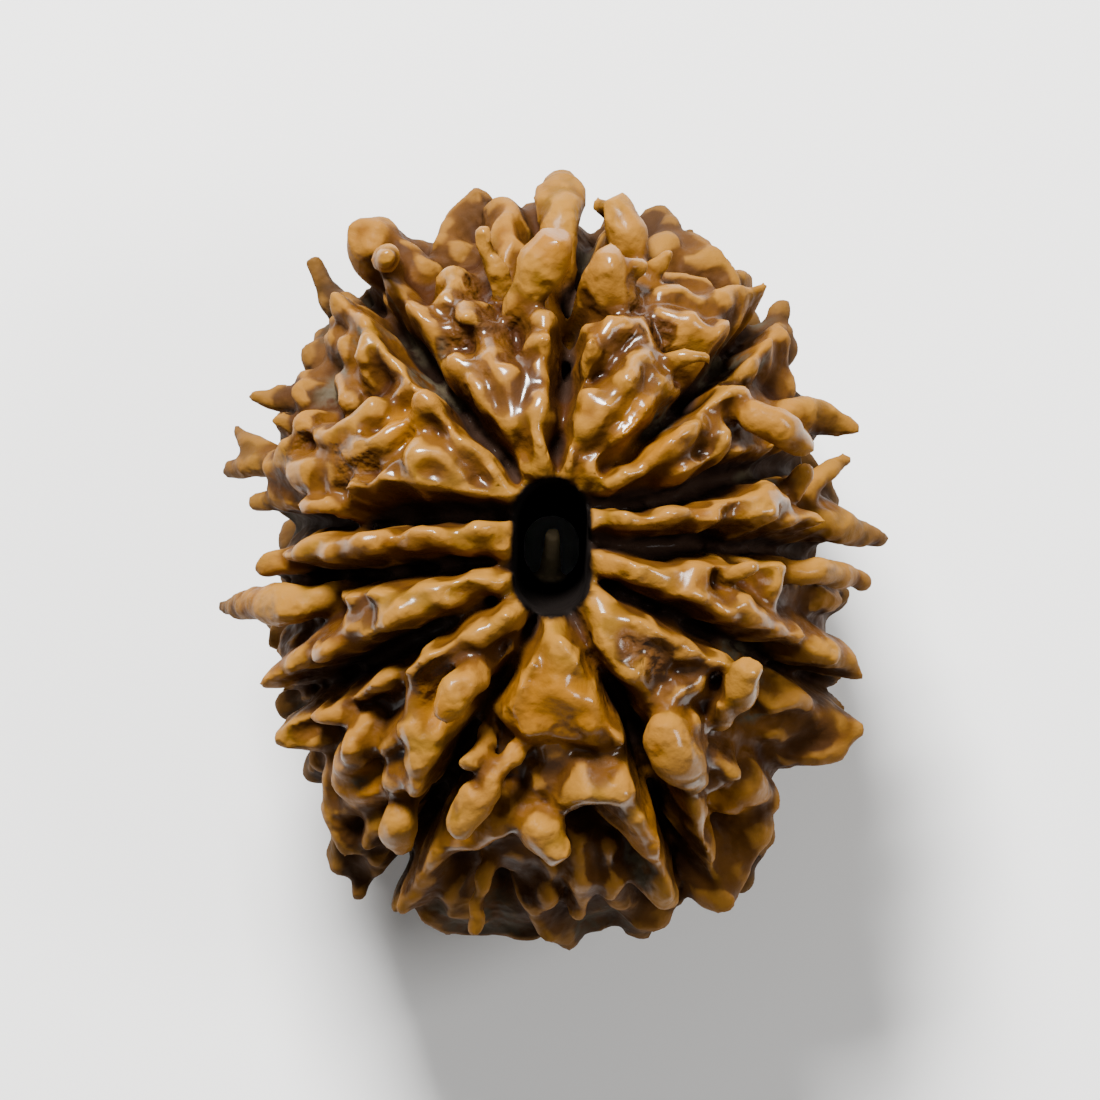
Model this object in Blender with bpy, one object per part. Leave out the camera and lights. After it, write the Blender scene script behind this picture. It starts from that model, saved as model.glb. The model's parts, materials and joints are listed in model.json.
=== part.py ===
"""An eleven-faced rudraksha, the stone of an Elaeocarpus fruit, strung through its own hole.

The bead is one grown body. Eleven clefts run from the mouth of the thread hole, over the
widest part, to the lower mouth. Between them stand eleven lobes, each with low ridges and
blunt horns. The upper mouth looks along +Z, and the bead rests on the worn crests round the
lower mouth, where the origin is.
"""

import math
import random

import bmesh
import bpy
import numpy as np
from mathutils import Vector, noise

MM = 0.001

# The stone at the floor of its clefts, as half widths in mm. All lifts are measured from it.
CORE_X = 8.4
CORE_Y = 10.5
CORE_Z = 8.3
CORE = np.array((CORE_X, CORE_Y, CORE_Z))

# Where the thread hole goes through, from the middle of the stone.
HOLE_X = -0.07
HOLE_Y = 0.36

# The lobes' own surface, as a lift above the core: low round the thread hole, full outside.
LOBE_LIFT_AT_HOLE = 0.5
LOBE_LIFT = 1.15
HOLE_DIP_REACH = 4.0
LUMP_HEIGHT = 0.16
LUMP_LENGTH = 2.2

# How steeply a ridge and a cleft fall, and how far two surfaces blend.
RIDGE_SLOPE = 4.8
RIDGE_ROUNDNESS = 0.52
RIDGE_CROWN = 0.5
RIDGE_ROUGH = 0.3
RIDGE_SWELL = 0.5
ROUGH_LENGTH = 0.9
LOBE_SHOULDER = 1.1
RIM_ZONE = 0.6
CLEFT_SLOPE = 6.0
CLEFT_RAGGED = 0.16
CLEFT_FLOOR = -0.7
CLEFT_FLOOR_AT_RIM = 0.5
BLEND = 0.2

# How far ridges wander from their lines.
WANDER = 0.16
WANDER_LENGTH = 1.3

# The thread hole: a slot at the upper mouth that narrows to a round channel.
HOLE_MOUTH = (2.5, 4.6)
HOLE_THROAT = (2.0, 2.3)
HOLE_SIDES = 28

# The stub of fibre in the hole, from the hole's wall to its tip.
FIBRE_ROOT = (HOLE_X - 0.1, HOLE_Y - 1.7, 0.8)
FIBRE_TIP = (HOLE_X + 0.05, HOLE_Y + 0.5, 4.6)
FIBRE_RADII = (0.5, 0.28)
FIBRE_SIDES = 9

# The worn flat under the bead, as a depth below the middle.
REST_DEPTH = 9.4

# How deep a horn's root is sunk.
ROOT_LIFT = -0.6

# Horns are drawn fatter and longer by what smoothing takes off them, and none is thinner than
# this, so that its tip doesn't break off.
HORN_GROWTH = 1.15
TIP_LOSS = 0.2
THINNEST_HORN = 0.31

# Short ridges round the widest part: how far apart, at which shares of the half height, and
# how high they lift.
BELT_SEED = 11
BELT_SPACING = 2.0
BELT_LEVELS = (-0.36, -0.16, 0.04, 0.22)
BELT_LIFTS = (1.4, 2.0)

# Lumps all over, horns too: how far apart, and how high from the lowest to the highest.
LUMPS_APART = 1.1
LUMPS_RISE = 0.45

# Resolution of the rim's height, of lines drawn on the body, and of the fused body.
RIM_STEP = 0.02
STATION_ANGLE = 0.15
LINE_REACH = 2.5
CORE_SUBDIVISIONS = 7
VOXEL = 0.22
SMOOTH_PASSES = 3
KEPT_SHARE = 0.064

# The clefts, anticlockwise from the one that runs up the picture. Each is a line of
# (x, y, half width) in mm from the thread hole to the rim, as seen from above.
CLEFTS = (
    (
        (0.1, 2.2, 0.0), (0.2, 3.6, 0.0), (0.4, 5.0, 0.04), (0.6, 7.3, 0.08),
        (0.9, 9.3, 0.1), (1.5, 11.0, 0.06),
    ),
    ((-1.2, 2.5, 0.0), (-2.3, 3.8, 0.02), (-3.5, 5.2, 0.06), (-4.5, 6.5, 0.16), (-6.8, 9.0, 0.05)),
    ((-1.2, 1.3, 0.05), (-3.3, 1.3, 0.22), (-5.0, 1.2, 0.26), (-7.0, 1.0, 0.25), (-9.7, 0.8, 0.15)),
    ((-1.3, -0.6, 0.0), (-3.3, -0.6, 0.1), (-5.0, -0.75, 0.12), (-7.0, -1.0, 0.12), (-10.0, -1.2, 0.15)),
    (
        (-1.3, -1.5, 0.0), (-3.0, -2.2, 0.02), (-4.3, -3.0, 0.12), (-6.0, -3.8, 0.25),
        (-7.7, -4.7, 0.2), (-9.3, -5.2, 0.0),
    ),
    ((-0.5, -2.3, 0.0), (-1.2, -3.6, 0.0), (-2.0, -5.0, 0.05), (-3.2, -7.3, 0.12), (-5.0, -10.5, 0.0)),
    ((0.7, -2.3, 0.0), (1.3, -3.7, 0.02), (2.7, -5.7, 0.1), (3.5, -8.0, 0.12), (4.7, -11.7, 0.02)),
    ((1.3, -1.0, 0.0), (3.0, -1.8, 0.1), (5.0, -2.7, 0.14), (7.0, -3.5, 0.12), (10.0, -5.0, 0.0)),
    ((1.5, 0.25, 0.05), (3.3, 0.1, 0.2), (5.0, 0.1, 0.2), (7.0, 0.1, 0.18), (10.2, -0.2, 0.15)),
    ((1.7, 1.55, 0.08), (3.0, 1.65, 0.18), (4.7, 1.9, 0.18), (6.3, 2.6, 0.28), (9.3, 3.1, 0.2)),
    ((1.8, 2.7, 0.0), (3.0, 3.4, 0.02), (4.3, 4.8, 0.04), (5.5, 5.9, 0.14), (7.7, 8.2, 0.05)),
)

# Ridges raised from the lobes. Each is a line of (x, y, lift of the crest, radius) in mm.
RIDGES = (
    # Lobe left of the upright cleft.
    ((-1.1, 2.9, 1.2, 0.35), (-2.0, 4.2, 2.0, 0.45), (-2.9, 5.7, 2.2, 0.5), (-3.2, 6.5, 2.0, 0.5)),
    ((-0.2, 2.8, 1.3, 0.35), (-0.5, 4.0, 2.0, 0.45), (-0.5, 5.2, 2.1, 0.5)),
    ((-1.4, 4.4, 1.9, 0.6), (-1.7, 5.9, 2.1, 0.65), (-2.2, 6.8, 1.9, 0.6)),
    ((-0.2, 5.8, 1.9, 0.45), (-0.2, 7.0, 2.4, 0.47), (-0.2, 7.8, 2.5, 0.4)),
    ((-2.3, 7.6, 1.7, 0.8), (-3.6, 8.3, 1.8, 0.8), (-3.4, 9.1, 1.7, 0.8)),
    ((-5.8, 9.1, 2.7, 0.28), (-5.1, 8.3, 2.5, 0.4), (-4.4, 7.6, 2.3, 0.45), (-3.5, 7.5, 2.1, 0.45)),
    ((-6.0, 10.8, 2.9, 0.3), (-5.2, 10.4, 2.7, 0.35), (-4.6, 9.7, 2.0, 0.35)),
    ((-3.8, 10.7, 1.9, 0.7), (-3.3, 11.4, 2.1, 0.6), (-2.7, 12.1, 2.5, 0.5)),
    ((-1.5, 10.2, 1.9, 0.6), (-1.6, 11.2, 2.2, 0.62), (-1.7, 12.2, 2.6, 0.5)),
    ((-0.9, 11.0, 1.8, 0.4), (-1.1, 10.2, 1.8, 0.4)),
    # Lobe right of the upright cleft.
    ((0.3, 2.7, 1.2, 0.35), (0.6, 4.0, 1.9, 0.45), (1.1, 4.8, 2.1, 0.45), (1.8, 5.5, 2.0, 0.4)),
    ((1.2, 4.1, 2.0, 0.5), (2.1, 5.1, 2.3, 0.5), (3.0, 6.1, 2.4, 0.45)),
    ((1.6, 2.9, 1.4, 0.45), (2.9, 4.0, 2.1, 0.5), (3.6, 5.0, 2.3, 0.45), (3.8, 5.7, 2.4, 0.35)),
    ((3.2, 6.2, 2.4, 0.4), (3.8, 5.7, 2.4, 0.35)),
    ((1.0, 6.0, 2.0, 0.4), (1.3, 6.8, 2.4, 0.6), (2.1, 7.5, 2.4, 0.5), (2.8, 7.7, 2.1, 0.45)),
    ((3.4, 11.8, 2.1, 0.5), (4.0, 11.6, 2.1, 0.5), (4.3, 10.8, 2.0, 0.45)),
    ((4.5, 10.9, 2.1, 0.5), (5.4, 10.2, 2.2, 0.5), (6.4, 9.3, 2.2, 0.45)),
    ((4.3, 9.2, 1.6, 0.8), (5.2, 8.9, 1.7, 0.7)),
    ((3.8, 8.8, 2.2, 0.35), (5.0, 8.5, 2.3, 0.4), (6.0, 8.6, 2.5, 0.42), (7.5, 8.9, 3.0, 0.36)),
    ((3.9, 8.1, 2.3, 0.45), (4.6, 7.9, 2.5, 0.5), (5.3, 7.5, 2.6, 0.45), (6.3, 7.4, 2.9, 0.4)),
    ((3.3, 6.9, 2.0, 0.6), (3.2, 7.6, 2.0, 0.6)),
    ((2.9, 8.3, 1.8, 0.35), (3.0, 9.5, 1.8, 0.4)),
    # Upper right lobe.
    (
        (2.1, 2.4, 1.4, 0.3), (3.0, 2.7, 1.9, 0.38), (3.9, 3.4, 2.3, 0.42),
        (4.7, 4.0, 2.5, 0.42), (5.2, 4.4, 2.7, 0.35),
    ),
    ((5.2, 4.4, 2.3, 0.4), (5.1, 5.0, 2.4, 0.42), (5.7, 5.4, 2.5, 0.38), (6.4, 5.2, 2.4, 0.3)),
    ((5.8, 4.8, 2.2, 0.35), (6.1, 3.8, 2.3, 0.4), (6.3, 3.0, 2.2, 0.35)),
    ((2.1, 2.0, 1.2, 0.35), (3.6, 2.1, 1.7, 0.45), (5.3, 2.5, 2.0, 0.45), (6.3, 3.0, 2.1, 0.35)),
    ((6.8, 6.5, 2.0, 0.35), (7.6, 7.0, 2.2, 0.45), (8.1, 7.2, 2.3, 0.4)),
    ((7.9, 6.1, 1.5, 0.5), (8.3, 5.4, 1.5, 0.5)),
    ((6.8, 2.9, 1.4, 0.5), (8.0, 3.1, 1.5, 0.5)),
    # Right lobe above the level cleft.
    (
        (1.7, 0.9, 1.2, 0.38), (3.3, 1.1, 2.0, 0.42), (4.3, 1.5, 2.3, 0.42),
        (5.2, 1.8, 2.4, 0.42), (6.5, 2.2, 2.5, 0.4), (7.2, 1.9, 2.5, 0.35),
    ),
    ((1.6, 0.6, 1.2, 0.35), (3.3, 0.7, 1.9, 0.4), (5.0, 0.7, 2.1, 0.45), (6.6, 0.7, 2.3, 0.45)),
    ((6.6, 0.7, 2.3, 0.4), (7.2, 1.1, 2.5, 0.35), (7.6, 1.6, 2.3, 0.4), (8.2, 1.4, 2.3, 0.4)),
    (
        (7.2, 1.2, 2.5, 0.28), (7.9, 0.7, 2.6, 0.3), (8.2, 0.5, 2.6, 0.3),
        (8.5, 1.0, 2.5, 0.28), (8.9, 0.9, 2.6, 0.28), (9.4, 0.6, 2.7, 0.28),
    ),
    # Right lobe below the level cleft.
    ((1.7, -0.1, 1.1, 0.4), (3.0, -0.6, 1.9, 0.42), (5.0, -0.5, 2.2, 0.38), (5.9, -0.2, 2.5, 0.3)),
    ((1.8, -0.5, 1.1, 0.4), (3.3, -1.1, 1.9, 0.42), (4.7, -1.7, 2.2, 0.42), (6.1, -2.2, 2.6, 0.35)),
    ((3.7, -0.9, 2.0, 0.5), (5.2, -1.1, 2.1, 0.5)),
    ((7.8, -0.6, 2.2, 0.45), (7.7, -1.7, 1.9, 0.45), (7.5, -2.5, 1.8, 0.45)),
    ((6.4, -1.8, 2.4, 0.3), (7.3, -2.6, 2.5, 0.4), (8.5, -3.1, 2.5, 0.35)),
    ((8.9, -3.4, 2.4, 0.42), (9.9, -3.5, 2.6, 0.45), (10.4, -3.9, 2.9, 0.4), (10.7, -4.6, 3.2, 0.3)),
    # Lower right lobe.
    ((1.2, -1.7, 1.0, 0.35), (1.9, -1.8, 1.2, 0.3)),
    ((1.6, -2.3, 1.4, 0.35), (2.3, -2.6, 1.9, 0.38), (3.3, -2.4, 2.2, 0.42), (4.3, -2.9, 2.5, 0.38)),
    ((1.6, -2.6, 1.4, 0.38), (2.2, -3.5, 2.0, 0.45), (2.9, -4.6, 2.3, 0.48), (3.4, -5.1, 2.2, 0.4)),
    ((3.0, -3.4, 1.9, 0.55), (3.7, -4.2, 1.9, 0.5)),
    ((4.4, -3.7, 2.1, 0.35), (5.2, -3.4, 2.5, 0.42), (5.9, -3.7, 2.4, 0.35)),
    ((4.3, -4.7, 2.0, 0.5), (5.1, -4.7, 1.9, 0.6), (5.6, -5.7, 1.8, 0.6)),
    ((3.9, -5.2, 2.2, 0.35), (4.1, -6.1, 2.5, 0.45), (5.0, -6.9, 2.4, 0.4)),
    ((5.3, -7.2, 2.1, 0.3), (6.0, -7.6, 2.4, 0.28), (6.5, -7.9, 2.6, 0.24)),
    ((7.8, -5.4, 1.8, 0.5), (8.8, -4.9, 2.3, 0.5), (9.6, -5.2, 2.4, 0.45)),
    ((8.0, -6.3, 1.8, 0.5), (9.4, -6.0, 2.6, 0.6), (10.6, -6.3, 3.6, 0.45), (9.9, -7.1, 3.3, 0.45)),
    ((5.5, -8.2, 2.0, 0.3), (6.5, -8.3, 2.2, 0.35), (7.6, -8.5, 2.6, 0.45)),
    ((5.5, -8.9, 2.0, 0.3), (6.8, -9.1, 2.2, 0.35), (7.6, -9.0, 2.6, 0.45)),
    ((7.3, -9.9, 2.9, 0.5), (6.8, -11.2, 3.3, 0.5), (5.5, -12.3, 3.6, 0.45)),
    ((4.8, -8.7, 2.4, 0.42), (5.0, -9.7, 2.5, 0.4), (5.3, -10.7, 2.8, 0.32), (5.5, -11.3, 3.1, 0.2)),
    # Bottom lobe, with its broad three-sided plate.
    ((0.0, -3.0, 1.5, 0.35), (-0.7, -3.8, 2.0, 0.42), (-1.3, -4.8, 2.3, 0.45), (-1.6, -5.4, 2.3, 0.42)),
    ((0.2, -3.0, 1.5, 0.35), (1.2, -4.2, 2.1, 0.42), (1.9, -5.5, 2.4, 0.45), (2.4, -6.6, 2.4, 0.4)),
    ((0.0, -3.8, 2.0, 0.6), (0.1, -4.8, 2.1, 0.9), (0.6, -5.5, 2.1, 1.1), (1.4, -6.1, 2.1, 0.9)),
    ((0.0, -4.8, 2.1, 0.8), (-0.7, -5.4, 2.1, 0.8)),
    ((-1.3, -5.9, 2.0, 0.4), (0.3, -6.2, 2.1, 0.5), (1.7, -6.7, 2.1, 0.5)),
    ((-0.2, -2.5, 1.0, 0.35), (0.6, -2.5, 1.0, 0.35)),
    ((0.3, -7.0, 1.5, 0.7), (-0.3, -8.2, 1.5, 0.6)),
    (
        (0.7, -8.7, 2.4, 0.55), (1.4, -8.3, 2.6, 0.65), (2.4, -8.3, 2.7, 0.75), (3.1, -9.0, 2.8, 0.72),
        (3.5, -9.9, 2.9, 0.6), (3.8, -10.8, 3.0, 0.55), (4.1, -11.7, 3.2, 0.55),
    ),
    ((3.7, -11.9, 3.0, 0.45), (4.4, -12.2, 3.0, 0.42)),
    ((1.1, -10.8, 2.2, 0.28), (0.9, -11.8, 2.4, 0.3), (1.1, -12.8, 2.5, 0.3)),
    ((2.1, -10.7, 2.2, 0.28), (2.1, -11.6, 2.4, 0.3), (2.3, -12.5, 2.5, 0.3)),
    ((0.0, -11.4, 2.0, 0.3), (-0.3, -12.6, 2.4, 0.3)),
    (
        (-0.8, -9.4, 2.3, 0.4), (-1.9, -9.6, 2.4, 0.42), (-2.7, -10.1, 2.4, 0.42),
        (-3.8, -10.5, 2.5, 0.42), (-4.7, -11.3, 2.9, 0.4), (-5.3, -12.4, 3.5, 0.42),
    ),
    (
        (-4.4, -12.7, 3.1, 0.35), (-3.4, -13.3, 3.0, 0.4), (-1.5, -13.5, 2.6, 0.45),
        (0.3, -13.4, 2.4, 0.45), (1.9, -13.2, 2.5, 0.4), (3.2, -13.0, 2.5, 0.35),
    ),
    # Lower left lobe.
    ((-1.0, -2.4, 1.0, 0.4), (-1.7, -1.9, 1.0, 0.4)),
    (
        (-0.6, -3.5, 1.8, 0.3), (-0.6, -3.0, 1.8, 0.3), (-1.0, -2.5, 1.8, 0.32),
        (-1.6, -2.4, 1.9, 0.32), (-2.2, -2.7, 2.0, 0.35), (-3.2, -2.8, 2.2, 0.42),
        (-4.0, -3.3, 2.3, 0.42), (-4.9, -3.9, 2.4, 0.38),
    ),
    ((-2.9, -3.4, 1.6, 0.5), (-3.9, -4.0, 1.8, 0.5)),
    ((-4.8, -4.2, 2.2, 0.4), (-4.7, -5.1, 2.0, 0.4), (-4.8, -5.8, 1.9, 0.35)),
    ((-4.5, -6.6, 2.5, 0.65), (-4.4, -7.5, 2.6, 0.7), (-4.5, -8.2, 2.4, 0.5)),
    ((-5.0, -6.4, 2.4, 0.35), (-3.8, -6.4, 2.4, 0.35)),
    ((-4.8, -7.8, 2.3, 0.4), (-5.5, -8.2, 2.3, 0.35)),
    ((-5.2, -6.5, 2.0, 0.35), (-5.8, -6.9, 2.2, 0.35)),
    ((-6.8, -6.6, 2.4, 0.4), (-7.0, -7.6, 2.4, 0.5), (-7.3, -8.3, 2.4, 0.5)),
    ((-7.8, -7.9, 2.3, 0.5), (-7.8, -9.2, 2.7, 0.5), (-7.2, -10.4, 3.0, 0.5)),
    ((-5.7, -8.4, 2.2, 0.35), (-6.6, -8.6, 2.3, 0.38), (-7.3, -9.0, 2.4, 0.38)),
    ((-5.9, -9.8, 2.3, 0.35), (-6.5, -10.2, 2.7, 0.38)),
    ((-7.5, -5.8, 2.2, 0.35), (-8.5, -5.6, 2.5, 0.4), (-9.4, -5.9, 2.8, 0.35)),
    ((-9.5, -6.6, 3.0, 0.35), (-8.3, -6.7, 2.2, 0.4)),
    ((-6.2, -4.4, 2.3, 0.33), (-7.0, -4.6, 2.5, 0.36), (-7.5, -4.9, 2.5, 0.33)),
    # Left lobe below the level cleft.
    ((-1.6, -1.0, 1.1, 0.35), (-3.5, -1.0, 1.9, 0.38), (-5.2, -1.2, 2.2, 0.42), (-6.1, -1.4, 2.3, 0.38)),
    ((-4.0, -1.7, 1.9, 0.5), (-5.0, -2.2, 2.4, 0.75), (-5.7, -2.9, 2.5, 0.72), (-6.2, -3.4, 2.5, 0.5)),
    ((-2.0, -1.4, 1.1, 0.35), (-3.6, -1.8, 1.6, 0.4)),
    (
        (-6.4, -2.4, 2.2, 0.3), (-7.0, -2.9, 2.3, 0.35), (-7.7, -3.5, 2.4, 0.35),
        (-8.7, -4.1, 2.6, 0.35), (-9.4, -4.6, 2.8, 0.35), (-9.9, -5.0, 3.2, 0.25),
    ),
    ((-7.6, -1.4, 2.3, 0.32), (-6.9, -1.6, 2.2, 0.35)),
    ((-8.8, -3.4, 1.6, 0.4), (-9.5, -3.6, 1.9, 0.3)),
    # Left lobe above the level cleft.
    (
        (-1.5, 0.7, 1.1, 0.35), (-2.4, 0.6, 1.6, 0.38), (-3.7, 0.4, 1.9, 0.4),
        (-5.0, 0.5, 2.1, 0.42), (-6.0, 0.7, 2.2, 0.4),
    ),
    ((-1.7, 0.1, 1.1, 0.35), (-4.0, -0.1, 1.7, 0.42), (-5.8, 0.0, 2.0, 0.5)),
    ((-6.0, 0.4, 2.1, 0.45), (-6.7, 0.1, 2.2, 0.5), (-8.2, -0.1, 2.2, 0.5), (-9.3, -0.4, 2.2, 0.45)),
    ((-7.3, -0.5, 1.7, 0.4), (-9.0, -0.8, 1.7, 0.4)),
    # Upper left lobe.
    (
        (-1.7, 2.4, 1.3, 0.38), (-2.7, 3.3, 1.9, 0.42), (-3.3, 4.2, 2.2, 0.42),
        (-3.8, 4.7, 2.4, 0.42), (-4.4, 5.0, 2.6, 0.35),
    ),
    ((-1.5, 1.9, 1.2, 0.38), (-3.3, 1.9, 1.8, 0.42), (-4.5, 2.1, 2.1, 0.4)),
    ((-4.6, 4.6, 2.2, 0.35), (-4.5, 3.3, 2.2, 0.45), (-4.6, 2.3, 2.1, 0.4)),
    ((-3.8, 3.2, 1.8, 0.6), (-3.0, 2.6, 1.7, 0.5)),
    ((-6.8, 1.9, 2.2, 0.35), (-6.0, 2.2, 2.5, 0.42), (-5.0, 1.7, 2.6, 0.38), (-4.7, 1.6, 2.6, 0.3)),
    ((-5.7, 2.5, 2.1, 0.4), (-5.2, 2.7, 2.0, 0.35)),
    ((-5.6, 4.2, 2.4, 0.25), (-6.1, 3.6, 2.4, 0.3), (-7.1, 3.3, 2.3, 0.27)),
    ((-8.5, 4.2, 2.2, 0.38), (-7.7, 3.8, 2.4, 0.42), (-6.8, 4.3, 2.3, 0.42), (-6.2, 4.8, 2.2, 0.38)),
    ((-7.8, 2.7, 2.2, 0.45), (-9.2, 3.0, 2.4, 0.62), (-10.0, 3.1, 2.5, 0.5)),
    ((-7.3, 8.6, 2.9, 0.25), (-6.7, 8.0, 2.6, 0.33), (-6.4, 7.2, 2.2, 0.4), (-6.5, 6.6, 2.4, 0.46)),
    ((-7.7, 7.7, 2.0, 0.28), (-7.3, 8.0, 2.2, 0.28), (-6.9, 7.8, 2.2, 0.28)),
    ((-7.8, 7.3, 2.1, 0.3), (-7.2, 7.0, 2.3, 0.3)),
    ((-5.9, 6.9, 2.6, 0.26), (-5.2, 6.5, 2.5, 0.34), (-4.7, 5.8, 2.2, 0.32)),
    ((-5.2, 5.4, 1.5, 0.6), (-5.0, 6.0, 1.7, 0.5)),
    ((-8.4, 7.4, 2.1, 0.42), (-8.5, 6.7, 2.1, 0.42)),
    ((-8.7, 6.0, 2.1, 0.45), (-8.7, 5.4, 2.1, 0.45)),
    ((-7.3, 5.8, 1.6, 0.5), (-7.0, 5.0, 1.6, 0.6)),
)

# Blunt horns and spines, free of the lobe between root and tip, in the same numbers.
HORNS = (
    # Lobe left of the upright cleft.
    ((-1.2, 7.9, 1.4, 0.55), (-0.8, 8.7, 2.3, 0.6), (-0.3, 9.7, 3.0, 0.82), (-0.2, 9.9, 3.2, 0.8)),
    ((-5.2, 9.5, 1.4, 0.9), (-5.9, 10.2, 2.5, 1.0), (-6.1, 10.4, 2.9, 0.95)),
    ((-5.7, 9.9, 2.6, 0.4), (-5.7, 9.9, 4.1, 0.4)),
    ((-1.8, 9.0, 1.7, 0.35), (-2.1, 9.8, 2.4, 0.3), (-2.3, 10.5, 3.0, 0.22)),
    ((0.2, 10.6, 1.8, 0.6), (0.3, 11.6, 2.2, 0.72), (0.3, 12.3, 2.5, 0.75)),
    ((0.2, 11.3, 2.2, 0.5), (-0.2, 12.1, 2.5, 0.42)),
    ((-3.0, 8.2, 1.6, 0.4), (-2.9, 7.9, 2.2, 0.4)),
    # Lobe right of the upright cleft.
    ((2.1, 8.2, 1.5, 0.75), (2.0, 9.0, 2.4, 0.75), (2.0, 9.5, 2.9, 0.6)),
    ((1.4, 9.6, 2.9, 0.35), (2.7, 9.5, 2.9, 0.35)),
    ((2.8, 9.9, 1.6, 0.6), (2.6, 10.7, 2.3, 0.7), (2.4, 11.3, 2.7, 0.6)),
    ((2.5, 11.2, 2.5, 0.4), (1.9, 11.6, 2.6, 0.35)),
    ((3.4, 9.3, 1.9, 0.35), (3.9, 9.9, 2.6, 0.27)),
    ((3.8, 6.2, 1.9, 0.35), (4.4, 6.5, 2.4, 0.3), (5.0, 6.5, 2.7, 0.26)),
    # Upper right lobe.
    ((6.3, 4.8, 2.1, 0.3), (7.1, 4.4, 2.6, 0.5), (8.0, 4.0, 2.9, 0.62), (8.4, 3.7, 2.9, 0.5)),
    ((8.0, 4.7, 1.5, 0.5), (9.2, 4.5, 2.0, 0.6), (10.2, 4.2, 2.8, 0.3)),
    ((7.5, 7.6, 1.6, 0.35), (8.1, 8.3, 2.4, 0.25)),
    # Right lobe above the level cleft.
    ((8.8, 1.0, 1.3, 0.5), (9.8, 0.7, 1.9, 0.52), (11.5, 0.38, 3.0, 0.25)),
    ((8.8, 1.7, 1.3, 0.4), (9.2, 2.3, 1.7, 0.35), (10.0, 2.9, 2.3, 0.27)),
    ((8.4, 1.9, 1.6, 0.35), (8.7, 2.5, 2.0, 0.25)),
    # Right lobe below the level cleft.
    ((6.0, -1.0, 2.0, 0.4), (6.6, -0.8, 2.5, 0.35)),
    ((8.3, -0.9, 1.7, 0.45), (9.6, -0.8, 2.3, 0.4), (10.7, -1.1, 2.6, 0.35)),
    # Lower right lobe.
    ((6.4, -5.0, 1.6, 0.5), (6.4, -4.9, 2.6, 0.6), (6.6, -4.5, 2.9, 0.58)),
    ((5.9, -6.0, 1.6, 0.35), (5.9, -5.5, 2.3, 0.38)),
    ((4.9, -6.2, 1.6, 0.6), (3.8, -6.1, 2.6, 0.65), (4.2, -7.0, 2.8, 0.85), (4.7, -7.7, 2.4, 0.6)),
    ((5.0, -10.9, 1.8, 0.6), (5.6, -11.7, 2.8, 0.75), (5.8, -12.0, 3.3, 0.65)),
    # Bottom lobe.
    ((-1.2, -7.1, 2.0, 0.25), (-1.8, -7.6, 2.5, 0.38), (-2.4, -8.3, 2.8, 0.55), (-2.9, -9.0, 3.1, 0.65)),
    ((-2.3, -6.7, 1.8, 0.35), (-2.6, -7.1, 2.5, 0.4)),
    ((-0.4, -9.5, 1.8, 0.7), (-0.3, -9.7, 2.5, 0.78), (-0.1, -10.0, 2.7, 0.6)),
    ((-2.3, -11.2, 2.0, 0.3), (-2.5, -12.1, 2.4, 0.32), (-2.7, -12.9, 3.1, 0.28)),
    # Lower left lobe.
    ((-2.6, -4.3, 1.9, 0.5), (-3.1, -4.7, 2.7, 0.62), (-3.4, -5.2, 2.9, 0.55)),
    ((-5.2, -8.9, 2.1, 0.45), (-5.3, -9.5, 2.7, 0.62), (-5.2, -10.0, 2.5, 0.5)),
    ((-6.4, -10.4, 2.1, 0.5), (-6.6, -11.2, 2.8, 0.45), (-6.7, -11.8, 3.4, 0.27)),
    # Left lobe below the level cleft.
    ((-8.0, -1.8, 1.5, 0.5), (-9.3, -2.0, 2.2, 0.72), (-10.4, -1.95, 2.6, 0.5), (-11.4, -2.05, 3.0, 0.25)),
    # Left lobe above the level cleft.
    ((-9.3, -0.4, 1.8, 0.4), (-10.1, -0.7, 2.2, 0.22)),
    # Upper left lobe.
    ((-7.3, 1.4, 1.6, 0.3), (-7.8, 1.4, 2.2, 0.3), (-8.3, 1.4, 2.2, 0.3)),
    ((-8.3, 1.7, 1.2, 0.4), (-9.5, 1.7, 1.7, 0.4), (-10.2, 1.6, 2.2, 0.22)),
    ((-10.0, 3.2, 2.3, 0.45), (-10.9, 4.0, 2.9, 0.28)),
    ((-10.0, 3.0, 2.4, 0.45), (-11.2, 2.75, 2.9, 0.28)),
    ((-8.3, 5.0, 1.5, 0.45), (-9.3, 5.1, 2.2, 0.42), (-10.0, 5.2, 2.9, 0.33)),
    ((-8.9, 4.0, 1.7, 0.28), (-9.3, 4.3, 2.2, 0.2)),
    ((-7.6, 8.4, 1.6, 0.45), (-8.0, 9.2, 2.4, 0.36), (-8.2, 9.7, 3.0, 0.25)),
)

# Where the whole lobe swells outward: (x, y, radius, height) in mm.
SWELLS = (
    (-6.6, -11.4, 2.3, 1.9), (5.6, -11.8, 2.6, 1.8), (-1.0, -13.0, 3.2, 1.3),
    (9.6, -5.6, 2.2, 1.0), (5.8, 10.2, 2.4, 0.6),
)

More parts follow.
